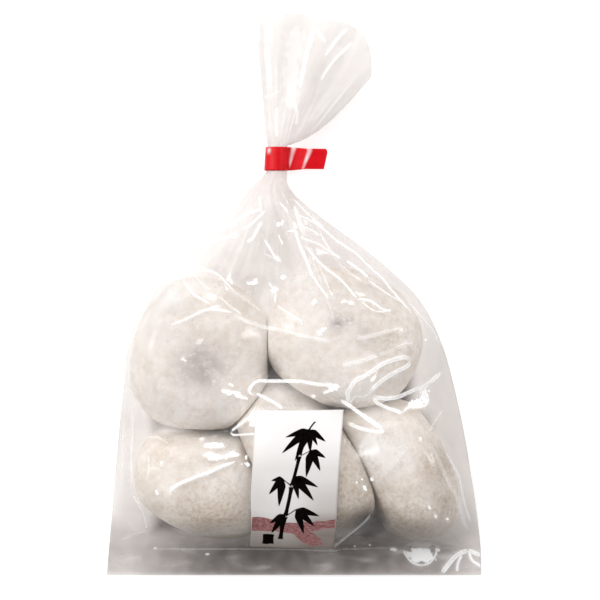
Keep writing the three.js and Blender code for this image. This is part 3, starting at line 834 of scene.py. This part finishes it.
def painted_film_shade(points, upper, rim):
    """Painted shade at each point, as how much light the film keeps back: most in the strip at the seam
    and on the back under the cakes, some over the hollows between them, and little elsewhere."""
    x, y, _ = points.T
    painted_shade = np.interp(x, *PAINTED_SHADE_ACROSS) * np.interp(y, *PAINTED_SHADE_UP)
    painted_shade *= 1 + 0.15 * soft_noise(points, 13, 4.4) + 0.1 * soft_noise(points, 4, 1.4)
    for place, size, strength in HOLLOWS:
        painted_shade += strength * hill(x, y, place, size)
    # painted shade beside the cakes and above them, then on the right side, then on the right shoulder
    margin = (1 - smoothstep(rim, 7, 17)) * smoothstep(y, 12, 24)
    painted_shade += 0.062 * np.maximum(margin, smoothstep(y, 96, 116))
    painted_shade += 0.08 * smoothstep(x, 42, 60) * (1 - smoothstep(y, 100, 134))
    painted_shade += 0.055 * smoothstep(x, -4, 12) * between(y, 104, 118, 150, 162)
    # painted shade along a fold or a cut edge, which is seen end on
    painted_shade += 0.07 * (1 - smoothstep(rim, 0.1, 1.0)) * smoothstep(y, 3, 6)
    left = np.interp(y, *FLAT_FOLDS_LEFT)
    right = np.interp(y, *FLAT_FOLDS_RIGHT)
    flat_folds = between(x, left - 3, left + 4, right - 3, right + 3)
    painted_shade += 0.085 * flat_folds * between(y, 105, 124, 146, 156)
    # painted shade: the back film is dark in one block under the cakes. From above that deepens the gaps
    # between them, but from below the block shows
    covered = smoothstep(rim, 14, 24) * between(y, 12, 20, 88, 99)
    covered *= 1 - smoothstep(x, 42, 51) * smoothstep(y, 60, 69)
    return np.clip(painted_shade + 1.1 * ~upper * covered, 0, 1)


def in_bands(piece, count):
    """The piece cut across into this many, with equally many faces each. They keep the normals of the
    whole, so that no joint shows."""
    mesh = piece.data
    corners = np.empty(len(mesh.loops), dtype=int)
    mesh.loops.foreach_get("vertex_index", corners)
    faces = corners.reshape(-1, 4)
    points, normals = points_of(mesh), normals_of(mesh)
    order = np.argsort(points[faces, 1].mean(axis=1), kind="stable")
    band_of = np.empty(len(faces), dtype=int)
    for i, share in enumerate(np.array_split(order, count)):
        band_of[share] = i
    for i in range(count):
        bm = bmesh.new()
        bm.from_mesh(mesh)
        others = [face for face, band in zip(bm.faces, band_of) if band != i]
        bmesh.ops.delete(bm, geom=others, context="FACES")
        name = f"{piece.name}_{i + 1}"
        band = mesh_from(bm, name)
        band.shade_smooth()
        kept = np.unique(faces[band_of == i])
        band.normals_split_custom_set_from_vertices(normals[kept].tolist())
        yield make_object(name, band)


def make_film(material):
    """The three panels, the front one in bands. Gives the whole film for finding places on it."""
    shell = film_cage()
    apply_modifiers(shell, subdivision(2))
    # Each panel, how many times its mesh is made finer, how it is crumpled, how hazy it is all over, and
    # the number of bands that it is cut into
    panels = {
        "film_front": (FRONT, 2, crumple_front, 0.02, 6),
        "film_back": (BACK, 0, crumple_back, 0.03, 1),
        "film_mouth": (MOUTH, 1, crumple_mouth, 0.07, 1),
    }
    for name, (panel, levels, crumple, haze, bands) in panels.items():
        piece = film_panel(name, shell.data, panel, levels)
        rim = edge_distance(piece.data)
        white = crumple(piece.data, rim)
        points = from_seam(points_of(piece.data))
        upper = normals_of(piece.data)[:, 2] >= 0
        # the film's haze with its painted sheen, its painted highlights and its painted shade, which the
        # material reads
        set_attribute(piece.data, "haze_and_sheen", haze_and_sheen_of(points, upper, haze))
        set_attribute(piece.data, "glint", np.clip(white, 0, 1))
        set_attribute(piece.data, "painted_shade", painted_film_shade(points, upper, rim))
        if bands == 1:
            finish_piece(piece, "film", material, "bag")
        else:
            for band in in_bands(piece, bands):
                finish_piece(band, "film", material, "bag")
            bpy.data.objects.remove(piece)
    film = tree_of(shell.data)
    bpy.data.objects.remove(shell)
    return film


# ------------------------------------------------------------------ the five cakes

# The cakes before they are pressed flat: middle from the seam, half length and half width, turn in
# degrees, full height, and how much of a cake is dry and dusted all over
CAKES = {
    "cake_upper_left": {"at": (-37.7, 88.8), "half": (30.1, 28.9), "turn": 85, "tall": 35.2, "dry": 0.5},
    "cake_upper_right": {"at": (19.6, 96.2), "half": (31.2, 27.4), "turn": -24, "tall": 36.2, "dry": 0.58},
    "cake_lower_left": {"at": (-35.4, 37.6), "half": (29.3, 21.8), "turn": -24, "tall": 33.2, "dry": 0.14},
    "cake_middle": {"at": (5, 46.5), "half": (36.4, 20.5), "turn": -57, "tall": 41, "dry": 0.14},
    "cake_lower_right": {"at": (41.8, 44), "half": (33, 19.8), "turn": -62, "tall": 33.2, "dry": 0.14},
}

# Pairs of cakes that press on each other: a point between them, the direction from the first to the
# second, how far the first leans over the second, in degrees, the groove left between them, and the
# rounding at the edge of the pressed faces
CONTACTS = [
    ("cake_upper_left", "cake_upper_right", (-10.4, 94), 0, 0, 0.0, 0.7),
    ("cake_upper_left", "cake_lower_left", (-39, 59), -90, 24, 1.0, 3.0),
    ("cake_upper_left", "cake_middle", (-18, 70), -40, 12, 0.1, 1.2),
    ("cake_upper_right", "cake_middle", (3.3, 73.4), -118, 34, 1.0, 2.6),
    ("cake_upper_right", "cake_lower_right", (30, 68.6), -84, 24, 0.5, 2.4),
    ("cake_middle", "cake_lower_left", (-16.6, 51.6), 207, 20, 0.2, 1.7),
    ("cake_middle", "cake_lower_right", (25.4, 44.8), 24, 12, 0.1, 1.3),
]

# Marks on the cakes: tone, place from the seam, radius and strength. The damp marks at the cakes' lower
# ends and edges are also painted shade, and the broad starch marks are also painted light where the
# cakes would lie in shade
MARKS = {
    "cake_upper_left": [
        ("filling", (-36.2, 84.4), 9.8, 0.92), ("starch_and_painted_light", (-50.4, 76.4), 2.6, 1.0),
        ("starch_and_painted_light", (-44, 87), 3, 0.8), ("starch_and_painted_light", (-43.4, 72), 3, 1.0), ("starch_and_painted_light", (-50, 68.6), 2.4, 1.0),
        ("starch_and_painted_light", (-34, 73.4), 2.4, 0.9), ("starch_and_painted_light", (-57, 90), 3, 0.9), ("starch_and_painted_light", (-60, 82), 2.4, 0.8),
        ("starch_and_painted_light", (-42, 66), 17, 1.0), ("starch_and_painted_light", (-26, 70), 12, 1.0), ("damp_and_painted_shade", (-38, 98), 11, 0.3),
        ("damp_and_painted_shade", (-27, 96), 9, 0.25),
    ],
    "cake_upper_right": [
        ("filling", (17.4, 101.6), 3.2, 0.95), ("filling", (21.6, 102.6), 2.8, 0.7),
        ("filling", (27, 98), 7, 0.35), ("starch_and_painted_light", (11, 97), 5, 0.9),
        ("starch_and_painted_light", (-2, 104), 9, 0.8), ("starch_and_painted_light", (6, 118), 12, 0.95), ("damp_and_painted_shade", (18, 112), 6, 0.25),
        ("damp_and_painted_shade", (43, 94), 15, 0.6), ("starch_and_painted_light", (20, 76), 17, 1.0), ("starch_and_painted_light", (30, 88), 9, 0.7),
    ],
    "cake_lower_left": [
        ("damp_and_painted_shade", (-53, 46), 9, 0.4), ("starch_and_painted_light", (-28, 54), 9, 1.0), ("starch_and_painted_light", (-32, 40), 9, 0.8),
        ("starch_and_painted_light", (-21, 43), 8, 0.9), ("starch_and_painted_light", (-50, 38), 8, 0.6), ("damp_and_painted_shade", (-32, 24), 17, 1.0),
        ("damp_and_painted_shade", (-57, 27), 7, 0.5), ("damp_and_painted_shade", (-17, 27), 9, 0.7),
    ],
    "cake_middle": [
        ("damp_and_painted_shade", (24, 34), 14, 1.0), ("damp_and_painted_shade", (19, 22), 12, 1.0), ("starch_and_painted_light", (-2, 71), 16, 1.0),
    ],
    "cake_lower_right": [
        ("starch_and_painted_light", (40, 50), 11, 1.0), ("starch_and_painted_light", (51, 31.6), 7, 0.6), ("damp_and_painted_shade", (43, 23), 14, 1.0),
        ("damp_and_painted_shade", (62, 30), 9, 1.0), ("damp_and_painted_shade", (58, 46), 9, 1.0), ("damp_and_painted_shade", (31, 33), 8, 0.8),
        ("starch_and_painted_light", (31, 53), 9, 1.0), ("starch_and_painted_light", (36, 63), 9, 0.9), ("damp_and_painted_shade", (39, 34), 7, 0.5),
        ("filling", (54, 36), 8, 0.15),
    ],
}
# Dents in the top of the dough: place from the seam, radius and depth
DIMPLES = {
    "cake_upper_left": ((-36.2, 84.6), 11, 2.2),
    "cake_upper_right": ((18.5, 102.5), 6, 1.3),
    "cake_lower_right": ((50, 30), 9, 0.9),
}
PLUMPNESS = 2.35  # 2 is an ellipsoid, and higher is squarer
CONTACT_HEIGHT = 18  # of the points in CONTACTS
# A cake's underside starts at the first height and is flattened above the second. That and keep_inside()
# are both soft, so it ends at about 2.2, and doesn't quite touch the back film
UNDERSIDE = 0.8
REST_HEIGHT = 0.9


def pressed(points, at, away, softness):
    """Points moved back behind a plane through a place, with its normal away, out of the piece."""
    beyond = (points - at) @ away + softness
    back = np.where(beyond > 0, beyond - softness * (1 - np.exp(-np.maximum(beyond, 0) / softness)), 0)
    return points - back[:, None] * away


def cake_mesh(name, cake, seed, film):
    """A soft ball of dough: rounder than an ellipsoid, flat where it lies and where its neighbours
    press."""
    bm = bmesh.new()
    bmesh.ops.create_icosphere(bm, subdivisions=6, radius=1)
    mesh = mesh_from(bm, name)
    unit = points_of(mesh) * MM
    unit = unit / (np.sum(np.abs(unit) ** PLUMPNESS, axis=1) ** (1 / PLUMPNESS))[:, None]
    turn = math.radians(cake["turn"])
    long, short = cake["half"]
    half_height = cake["tall"] / 2
    along, across = unit[:, 0] * long, unit[:, 1] * short
    points = np.stack([
        cake["at"][0] + along * math.cos(turn) - across * math.sin(turn),
        cake["at"][1] + along * math.sin(turn) + across * math.cos(turn),
        UNDERSIDE + half_height + unit[:, 2] * half_height,
    ], axis=1)
    # soft, uneven dough
    outwards = points - points.mean(0)
    outwards /= np.linalg.norm(outwards, axis=1)[:, None]
    uneven = soft_noise(points, 21, seed) * 0.9 + soft_noise(points, 8, seed + 3) * 0.25
    uneven += soft_noise(points, 2.6, seed + 5) * 0.07
    points += outwards * uneven[:, None]
    if name in DIMPLES:
        place, radius, depth = DIMPLES[name]
        dent = hill(points[:, 0], points[:, 1], place, (radius, radius))
        points[:, 2] -= depth * smoothstep(unit[:, 2], 0, 0.5) * dent
    for first, second, place, direction, lean, groove, rounding in CONTACTS:
        turn, tilt = math.radians(direction), math.radians(lean)
        away = np.array([
            math.cos(turn) * math.cos(tilt), math.sin(turn) * math.cos(tilt), -math.sin(tilt)])
        if name == second:
            away = -away
        if name in (first, second):
            at = np.array([*place, CONTACT_HEIGHT]) - away * groove / 2
            points = pressed(points, at, away, rounding)
    points = pressed(points, np.array([0, 0, REST_HEIGHT]), np.array([0, 0, -1.0]), softness=2.5)
    points[:, 1] += SEAM_Y
    set_points(mesh, points)
    keep_inside(mesh, film)
    return mesh


def keep_inside(mesh, film):
    """Moves a cake's points back inside the film, and softly flattens what would touch it."""
    clearance = 1.0 * MM
    softness = 2.5 * MM
    for vertex in mesh.vertices:
        spot, normal, _, _ = film.find_nearest(vertex.co)
        depth = (spot - vertex.co).dot(normal)
        spare = depth - clearance - softness
        if spare < 0:
            wanted = clearance + softness * math.exp(spare / softness)
            vertex.co -= normal * (wanted - depth)


def shade_cake(mesh, name, dry):
    """How much each point shows of starch, with painted light, of the filling under it, and of damp dough,
    with painted shade.
    """
    points = from_seam(points_of(mesh))
    x, y, _ = points.T
    tones = {
        "starch_and_painted_light": dry + 0.25 * soft_noise(points, 12, 7.7),
        "filling": np.zeros(len(points)),
        "damp_and_painted_shade": np.full(len(points), 0.24 - 0.4 * dry),
    }
    for tone, place, radius, strength in MARKS[name]:
        tones[tone] = np.maximum(tones[tone], strength * hill(x, y, place, (radius, radius)))
    for tone, values in tones.items():
        set_attribute(mesh, tone, np.clip(values, 0, 1))


def make_cakes(material, film):
    for i, (name, cake) in enumerate(CAKES.items()):
        mesh = cake_mesh(name, cake, 1.3 + 2.1 * i, film)
        shade_cake(mesh, name, cake["dry"])
        finish_piece(make_object(name, mesh), "rice_dough", material, "bag")


# ------------------------------------------------------------------ the label

PAPER = 0.15  # the label's thickness
INK_LIFT = 0.06  # how far the print stands off the paper, so that it shows
# Painted shade on the paper: y from the seam, and the level there, then how much more it is in the right
# half
PAINTED_PAPER_SHADE_UP = ([13, 18, 24, 28, 38, 45, 51, 56], [0.85, 0.76, 0.34, 0.21, 0.25, 0.25, 0.11, 0.04])
PAINTED_PAPER_SHADE_RIGHT = ([13, 18, 24, 28, 34, 41, 46], [0.2, 0.24, 0.38, 0.31, 0.23, 0.05, 0.0])


def make_label(material):
    """The CAD label's upper face as a fine, thin sheet. Gives it for finding places on it."""
    bm = bmesh.new()
    bm.from_mesh(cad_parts["label"].data)
    bmesh.ops.remove_doubles(bm, verts=bm.verts, dist=WELD * MM)
    bmesh.ops.join_triangles(
        bm, faces=bm.faces, angle_face_threshold=math.radians(30), angle_shape_threshold=math.pi)
    bm.normal_update()
    # the underside goes, and so do the narrow faces of the edge
    under = [f for f in bm.faces if f.normal.z < 0.05 or f.calc_area() < 2 * MM * MM]
    bmesh.ops.delete(bm, geom=under, context="FACES")
    for edge in bm.edges:
        if edge.is_boundary:
            edge.smooth = True
    sheet = make_object("label_sheet", mesh_from(bm, "label_sheet"))
    apply_modifiers(
        sheet,
        subdivision(2, boundary_smooth="PRESERVE_CORNERS"),
        ("SOLIDIFY", {"thickness": PAPER * MM, "offset": -1}),
    )
    x, y, _ = from_seam(points_of(sheet.data)).T
    middle = np.interp(y, (LABEL_FOOT[1], LABEL_TOP[1]), (LABEL_FOOT[0], LABEL_TOP[0]))
    right_half = smoothstep(x - middle, -4, 12)
    # painted shade, darker towards the foot and in the right half
    painted_paper_shade = np.interp(y, *PAINTED_PAPER_SHADE_UP) + right_half * np.interp(y, *PAINTED_PAPER_SHADE_RIGHT)
    set_attribute(sheet.data, "painted_paper_shade", painted_paper_shade)
    finish_piece(sheet, "label_paper", material, "label")
    return tree_of(sheet.data)


def on_label(x, y, paper, lift):
    """A place on the label's face: x from its middle line, and y up from its foot."""
    foot = Vector((LABEL_FOOT[0], LABEL_FOOT[1] + SEAM_Y))
    up = (Vector(LABEL_TOP) - Vector(LABEL_FOOT)).normalized()
    flat = foot + Vector((x, 0)) + up * y
    spot, normal, _, _ = paper.ray_cast(Vector((flat.x, flat.y, OVER)) * MM, -UP)
    if spot is None:
        return None
    return spot + normal * lift * MM


def print_patch(bm, paper, columns, rows, shape, lift=INK_LIFT):
    """A patch of ink: a grid whose every point shape() puts at a place on the label."""
    grid = bmesh.ops.create_grid(bm, x_segments=columns, y_segments=rows, size=1)["verts"]
    lost = []
    for vertex in grid:
        u, v = (vertex.co.x + 1) / 2, (vertex.co.y + 1) / 2
        spot = on_label(*shape(u, v), paper, lift)
        if spot is None:
            lost.append(vertex)
        else:
            vertex.co = spot
    bmesh.ops.delete(bm, geom=lost, context="VERTS")


def leaf_shape(foot, length, width, heading, bend):
    """A brushed bamboo leaf: thin where the brush touches down, full, then drawn out to a fine tip."""
    turn = math.radians(heading)

    def shape(u, v):
        swell = smoothstep(v, -0.08, 0.34) * (1 - v) ** 0.75 * 1.35
        half = width / 2 * max(float(swell), 0.03)
        side = (u * 2 - 1) * half + bend * v * v
        along = length * v
        return (
            foot[0] + along * math.sin(turn) + side * math.cos(turn),
            foot[1] + along * math.cos(turn) - side * math.sin(turn),
        )

    return shape


def stroke_shape(foot, top, width, rng):
    """One straight stroke of stem, fuller at its ends."""
    wobble = rng.uniform(-0.3, 0.3)

    def shape(u, v):
        bulge = 1 + 0.5 * abs(2 * v - 1) ** 5
        x = foot[0] + (top[0] - foot[0]) * v + math.sin(v * math.pi) * wobble
        y = foot[1] + (top[1] - foot[1]) * v
        return x + (u * 2 - 1) * width / 2 * bulge, y

    return shape


# A sprig of bamboo: the strokes of its stem with their widths, then where each cluster of leaves hangs,
# and the heading, length, width and bend of each leaf
STEM = [
    ((-4.6, 3.2), (-3.2, 13), 1.5), ((-3.1, 13.7), (-1.4, 25), 1.4), ((-1.3, 25.7), (1, 37), 1.3),
    ((1.1, 37.6), (4, 47), 1.1), ((4.2, 47.4), (6.4, 50.6), 0.7), ((1.2, 37.2), (5.4, 39.4), 0.6),
    ((-1.4, 25.2), (-5, 28), 0.6), ((-3.1, 13.3), (1, 16.2), 0.6),
]
LEAVES = [
    ((4.2, 47.4), [(205, 13, 3.1, -0.8), (232, 13.5, 3.3, -1), (256, 9.5, 2.6, -0.6), (172, 9, 2.6, 0.3),
                   (120, 8, 2.6, 0.6), (146, 7, 2.2, 0.4)]),
    ((5.4, 39.4), [(112, 6.5, 2.4, 0.5), (150, 9, 2.8, 0.5), (186, 10.5, 3.1, 0.2)]),
    ((-5, 28.4), [(262, 4.5, 2, -0.3), (222, 8, 2.8, -0.5), (186, 11, 3.2, -0.3)]),
    ((-0.8, 29), [(108, 10.5, 2.8, 0.8), (134, 12.5, 3.2, 0.9), (162, 9, 2.6, 0.4)]),
    ((1, 16.2), [(102, 9.5, 2.8, 0.7), (128, 10, 3, 0.8), (158, 10.5, 3, 0.5)]),
    ((-3.4, 14), [(214, 9.5, 3, -0.6), (240, 7, 2.6, -0.5), (190, 8.5, 2.4, -0.2)]),
]
SQUARE = (-11.7, 0.7, 4.5)  # left, foot and side of the small square


def make_print(black, mauve, paper):
    """The sprig and the small square in black, then the mauve mist across the foot."""
    rng = random.Random(21)
    bm = bmesh.new()
    for foot, top, width in STEM:
        print_patch(bm, paper, 3, 10, stroke_shape(foot, top, width, rng))
    for foot, leaves in LEAVES:
        for heading, length, width, bend in leaves:
            leaf = leaf_shape(foot, length, width, heading, bend)
            print_patch(bm, paper, 4, 16, leaf, INK_LIFT * 1.5)
    left, low, side = SQUARE

    def square(u, v):
        """A small square with worn edges."""
        worn = 0.35 * noise.noise(Vector((u * 3, v * 3, 0.5)))
        return left + side * u + worn, low + side * v * 0.96 + worn

    print_patch(bm, paper, 6, 6, square)
    finish_piece(make_object("label_bamboo", mesh_from(bm, "label_bamboo")), "label_ink", black)

    bm = bmesh.new()

    def swash(u, v):
        """Mist from side to side, thinner towards the right."""
        x = (u - 0.5) * (LABEL_WIDTH - 0.4)
        middle = 8.4 + 1.2 * (2 * u - 1) ** 2 + 0.4 * math.sin(u * 9) + 0.5 * u
        half = 2.9 - 1.1 * u + 0.3 * math.sin(u * 13)
        rough = 0.45 * noise.noise(Vector((u * 12, v * 3, 2)))
        rough += 0.2 * noise.noise(Vector((u * 45, v * 5, 4)))
        return x, middle + half * (v * 2 - 1) + rough

    def wisp(u, v):
        """Mist that drifts down from the middle to the right."""
        x = 0.8 + 11 * u + 1.6 * (0.5 - v)
        half = 3.5 * math.sin(math.pi * min(max(u, 0.06), 0.94)) ** 0.5
        rough = 0.4 * noise.noise(Vector((u * 6, v * 9, 7)))
        return x, 5.8 - 3.4 * u + half * (v * 2 - 1) + rough

    print_patch(bm, paper, 90, 8, swash, INK_LIFT * 0.5)
    print_patch(bm, paper, 16, 16, wisp, INK_LIFT * 0.7)
    finish_piece(make_object("label_mist", mesh_from(bm, "label_mist")), "label_band", mauve)


# ------------------------------------------------------------------ the tape

TAPE = 0.1  # its thickness
WOUND_IN = 0.25  # the strip lies this far inside the CAD tie's face
PLIES_APART = 0.22  # the two plies of the flag, from middle to middle
# Folds of the flag: the share of its length where each lies, and its height
FOLDS = ((0.04, 0.5), (0.47, 0.6))


def make_tape(material):
    """One strip of tape wound once round the neck, with its two ends stuck together as a flag."""
    low, high = (Vector(corner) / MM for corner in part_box("tie"))
    outer = (high.z - low.z) / 2
    middle = Vector((low.x + outer, 0, (low.z + high.z) / 2))
    radius = outer - WOUND_IN
    flag = high.x - (middle.x + outer)
    width = high.y - low.y
    steps, turns, rows = 40, 56, 18  # of the mesh: along the flag, round the neck, and across the strip

    def flag_point(share, side):
        """A point of the flag's edge, this share of the way out, on its upper (1) or lower (-1) ply."""
        sway = 0.9 * share * math.sin(share * math.pi * 1.6)
        out = radius + (flag + WOUND_IN) * share
        return Vector((middle.x + out, 0, middle.z + sway + PLIES_APART / 2 * side))

    path = [flag_point(1 - i / steps, 1) for i in range(steps)]
    for i in range(turns + 1):
        turn = 2 * math.pi * i / turns
        reach = radius * (1 + 0.02 * math.sin(turn * 5))
        path.append(middle + Vector((math.cos(turn), 0, math.sin(turn))) * reach)
    path += [flag_point((i + 1) / steps, -1) for i in range(steps)]

    bm = bmesh.new()
    line = [bm.verts.new(p) for p in path]
    edges = [bm.edges.new(pair) for pair in zip(line, line[1:])]
    for _ in range(rows):
        made = bmesh.ops.extrude_edge_only(bm, edges=edges)["geom"]
        verts = [g for g in made if isinstance(g, bmesh.types.BMVert)]
        bmesh.ops.translate(bm, verts=verts, vec=(0, width / rows, 0))
        edges = [g for g in made if isinstance(g, bmesh.types.BMEdge)]
    painted_fold_highlight = bm.verts.layers.float.new("painted_fold_highlight")
    for vertex in bm.verts:
        up = vertex.co.y / width
        beyond = (vertex.co.x - middle.x - outer) / flag
        if beyond > 0:
            # a slanted cut with its upper corner rounded, and two folds that lean with it, each with a
            # painted highlight
            corner = max(0, (up - 0.72) / 0.28)
            vertex.co.x -= beyond * (1.8 * (1 - up) + 1.1 * corner ** 3)
            vertex.co.y += (0.5 - up) * min(1.2, 2.4 * beyond)
            for fold, height in FOLDS:
                off = (beyond - fold - 0.16 * (up - 0.5)) * flag
                vertex.co.z += height * ridge(off, 1.1)
                patchy = 0.8 + 0.6 * noise.noise(Vector((up * 3, fold * 9, 1.5)))
                pale = max(0.0, 1 - abs(off / (0.7 + 0.7 * up)) ** 1.5)
                vertex[painted_fold_highlight] = max(vertex[painted_fold_highlight], min(1.0, pale * patchy * (0.55 + 0.6 * up)))
        else:
            # the ring leans a little, and has a painted highlight spot
            from_edge = vertex.co.x - (middle.x - outer)
            if vertex.co.z > middle.z:
                vertex[painted_fold_highlight] = hill(from_edge, up, (1.7, 0.84), (0.6, 0.11))
            vertex.co.x -= 0.06 * (2 * outer - from_edge) * (1 - up)
    bmesh.ops.translate(bm, verts=bm.verts, vec=(0, low.y, 0))
    bmesh.ops.scale(bm, verts=bm.verts, vec=(MM, MM, MM))
    bmesh.ops.recalc_face_normals(bm, faces=bm.faces)
    tape = make_object("tape", mesh_from(bm, "tape"))
    apply_modifiers(tape, ("SOLIDIFY", {"thickness": TAPE * MM, "offset": 0}))
    finish_piece(tape, "tape", material, "tie")


# ------------------------------------------------------------------ floor, lights and camera

SIDE_FOLDS = 13.0  # height of the bag's side folds
PICTURE_WIDTH = 240.0  # what the camera takes in, at that height
PICTURE_MIDDLE = (2.4, -2.0)  # from the frame's origin
CAMERA_HEIGHT = 1500.0
SENSOR = 36.0


def make_floor():
    """A white table top, a hair under the pack so that the two don't touch."""
    bm = bmesh.new()
    bmesh.ops.create_grid(bm, x_segments=1, y_segments=1, size=3000 * MM)
    bmesh.ops.translate(bm, verts=bm.verts, vec=(0, 0, -0.05 * MM))
    floor = make_object("floor", mesh_from(bm, "floor"))
    material, tree = new_material("lit white backdrop")
    surface = add(tree, "BsdfPrincipled", {
        "Base Color": "#eeeeee",
        "Roughness": 0.9,
        "Emission Color": "#ffffff",
        "Emission Strength": 0.35,
    })
    add(tree, "OutputMaterial", {"Surface": surface})
    floor.data.materials.append(material)
    floor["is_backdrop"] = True


def softbox(name, place, size, watts):
    """A rectangular lamp of that size, turned from its place towards the pack."""
    data = bpy.data.lights.new(name, "AREA")
    data.shape = "RECTANGLE"
    data.size, data.size_y = size[0] * MM, size[1] * MM
    data.energy = watts
    lamp = make_object(name, data)
    lamp.location = Vector(place) * MM
    lamp.rotation_euler = (15 * MM * UP - lamp.location).to_track_quat("-Z", "Y").to_euler()


def make_lights():
    softbox("key", (-520, 520, 1000), (2000, 1600), 14)
    softbox("left strip", (-800, 150, 560), (60, 560), 1)
    softbox("right strip", (820, 230, 540), (60, 560), 1.6)
    softbox("back lamp", (240, 800, 720), (140, 100), 1.6)
    # a pale room, darker towards the side that the seam faces
    world = bpy.data.worlds.new("studio")
    world.use_nodes = True
    tree = world.node_tree
    tree.nodes.clear()
    way = add(tree, "SeparateXYZ", {0: add(tree, "TexCoord", out="Generated")}, 1)
    side = add(tree, "MapRange", {0: way, 1: -0.9, 2: 0.1, 3: 0.0, 4: 1.0})
    walls = add(tree, "Mix", {0: side, 6: "#ececec", 7: "#f5f5f6"}, 2, data_type="RGBA")
    glow = add(tree, "Background", {"Color": walls, "Strength": 0.535})
    add(tree, "OutputWorld", {"Surface": glow})
    bpy.context.scene.world = world


def make_camera():
    """It looks straight down on the pack, from this height over its side folds."""
    data = bpy.data.cameras.new("camera")
    data.sensor_width = SENSOR
    data.lens = SENSOR * CAMERA_HEIGHT / PICTURE_WIDTH
    data.clip_end = 10000 * MM
    camera = make_object("camera", data)
    camera.location = Vector((*PICTURE_MIDDLE, CAMERA_HEIGHT + SIDE_FOLDS)) * MM
    bpy.context.scene.camera = camera
    bpy.context.scene.view_settings.view_transform = "Standard"


make_camera()
make_lights()
make_floor()
film_tree = make_film(film_material())
make_cakes(dough_material(), film_tree)
label_tree = make_label(paper_material())
make_print(
    ink_material("black printing ink", "#120e0c", "#040303", 1.0),
    ink_material("mauve printing ink", "#ac8382", "#7f4b4a", 2.0),
    label_tree,
)
make_tape(tape_material())

boxes = {"cad": cad_box, "visual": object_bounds()}
{name: [list(corner) for corner in box] for name, box in boxes.items()}
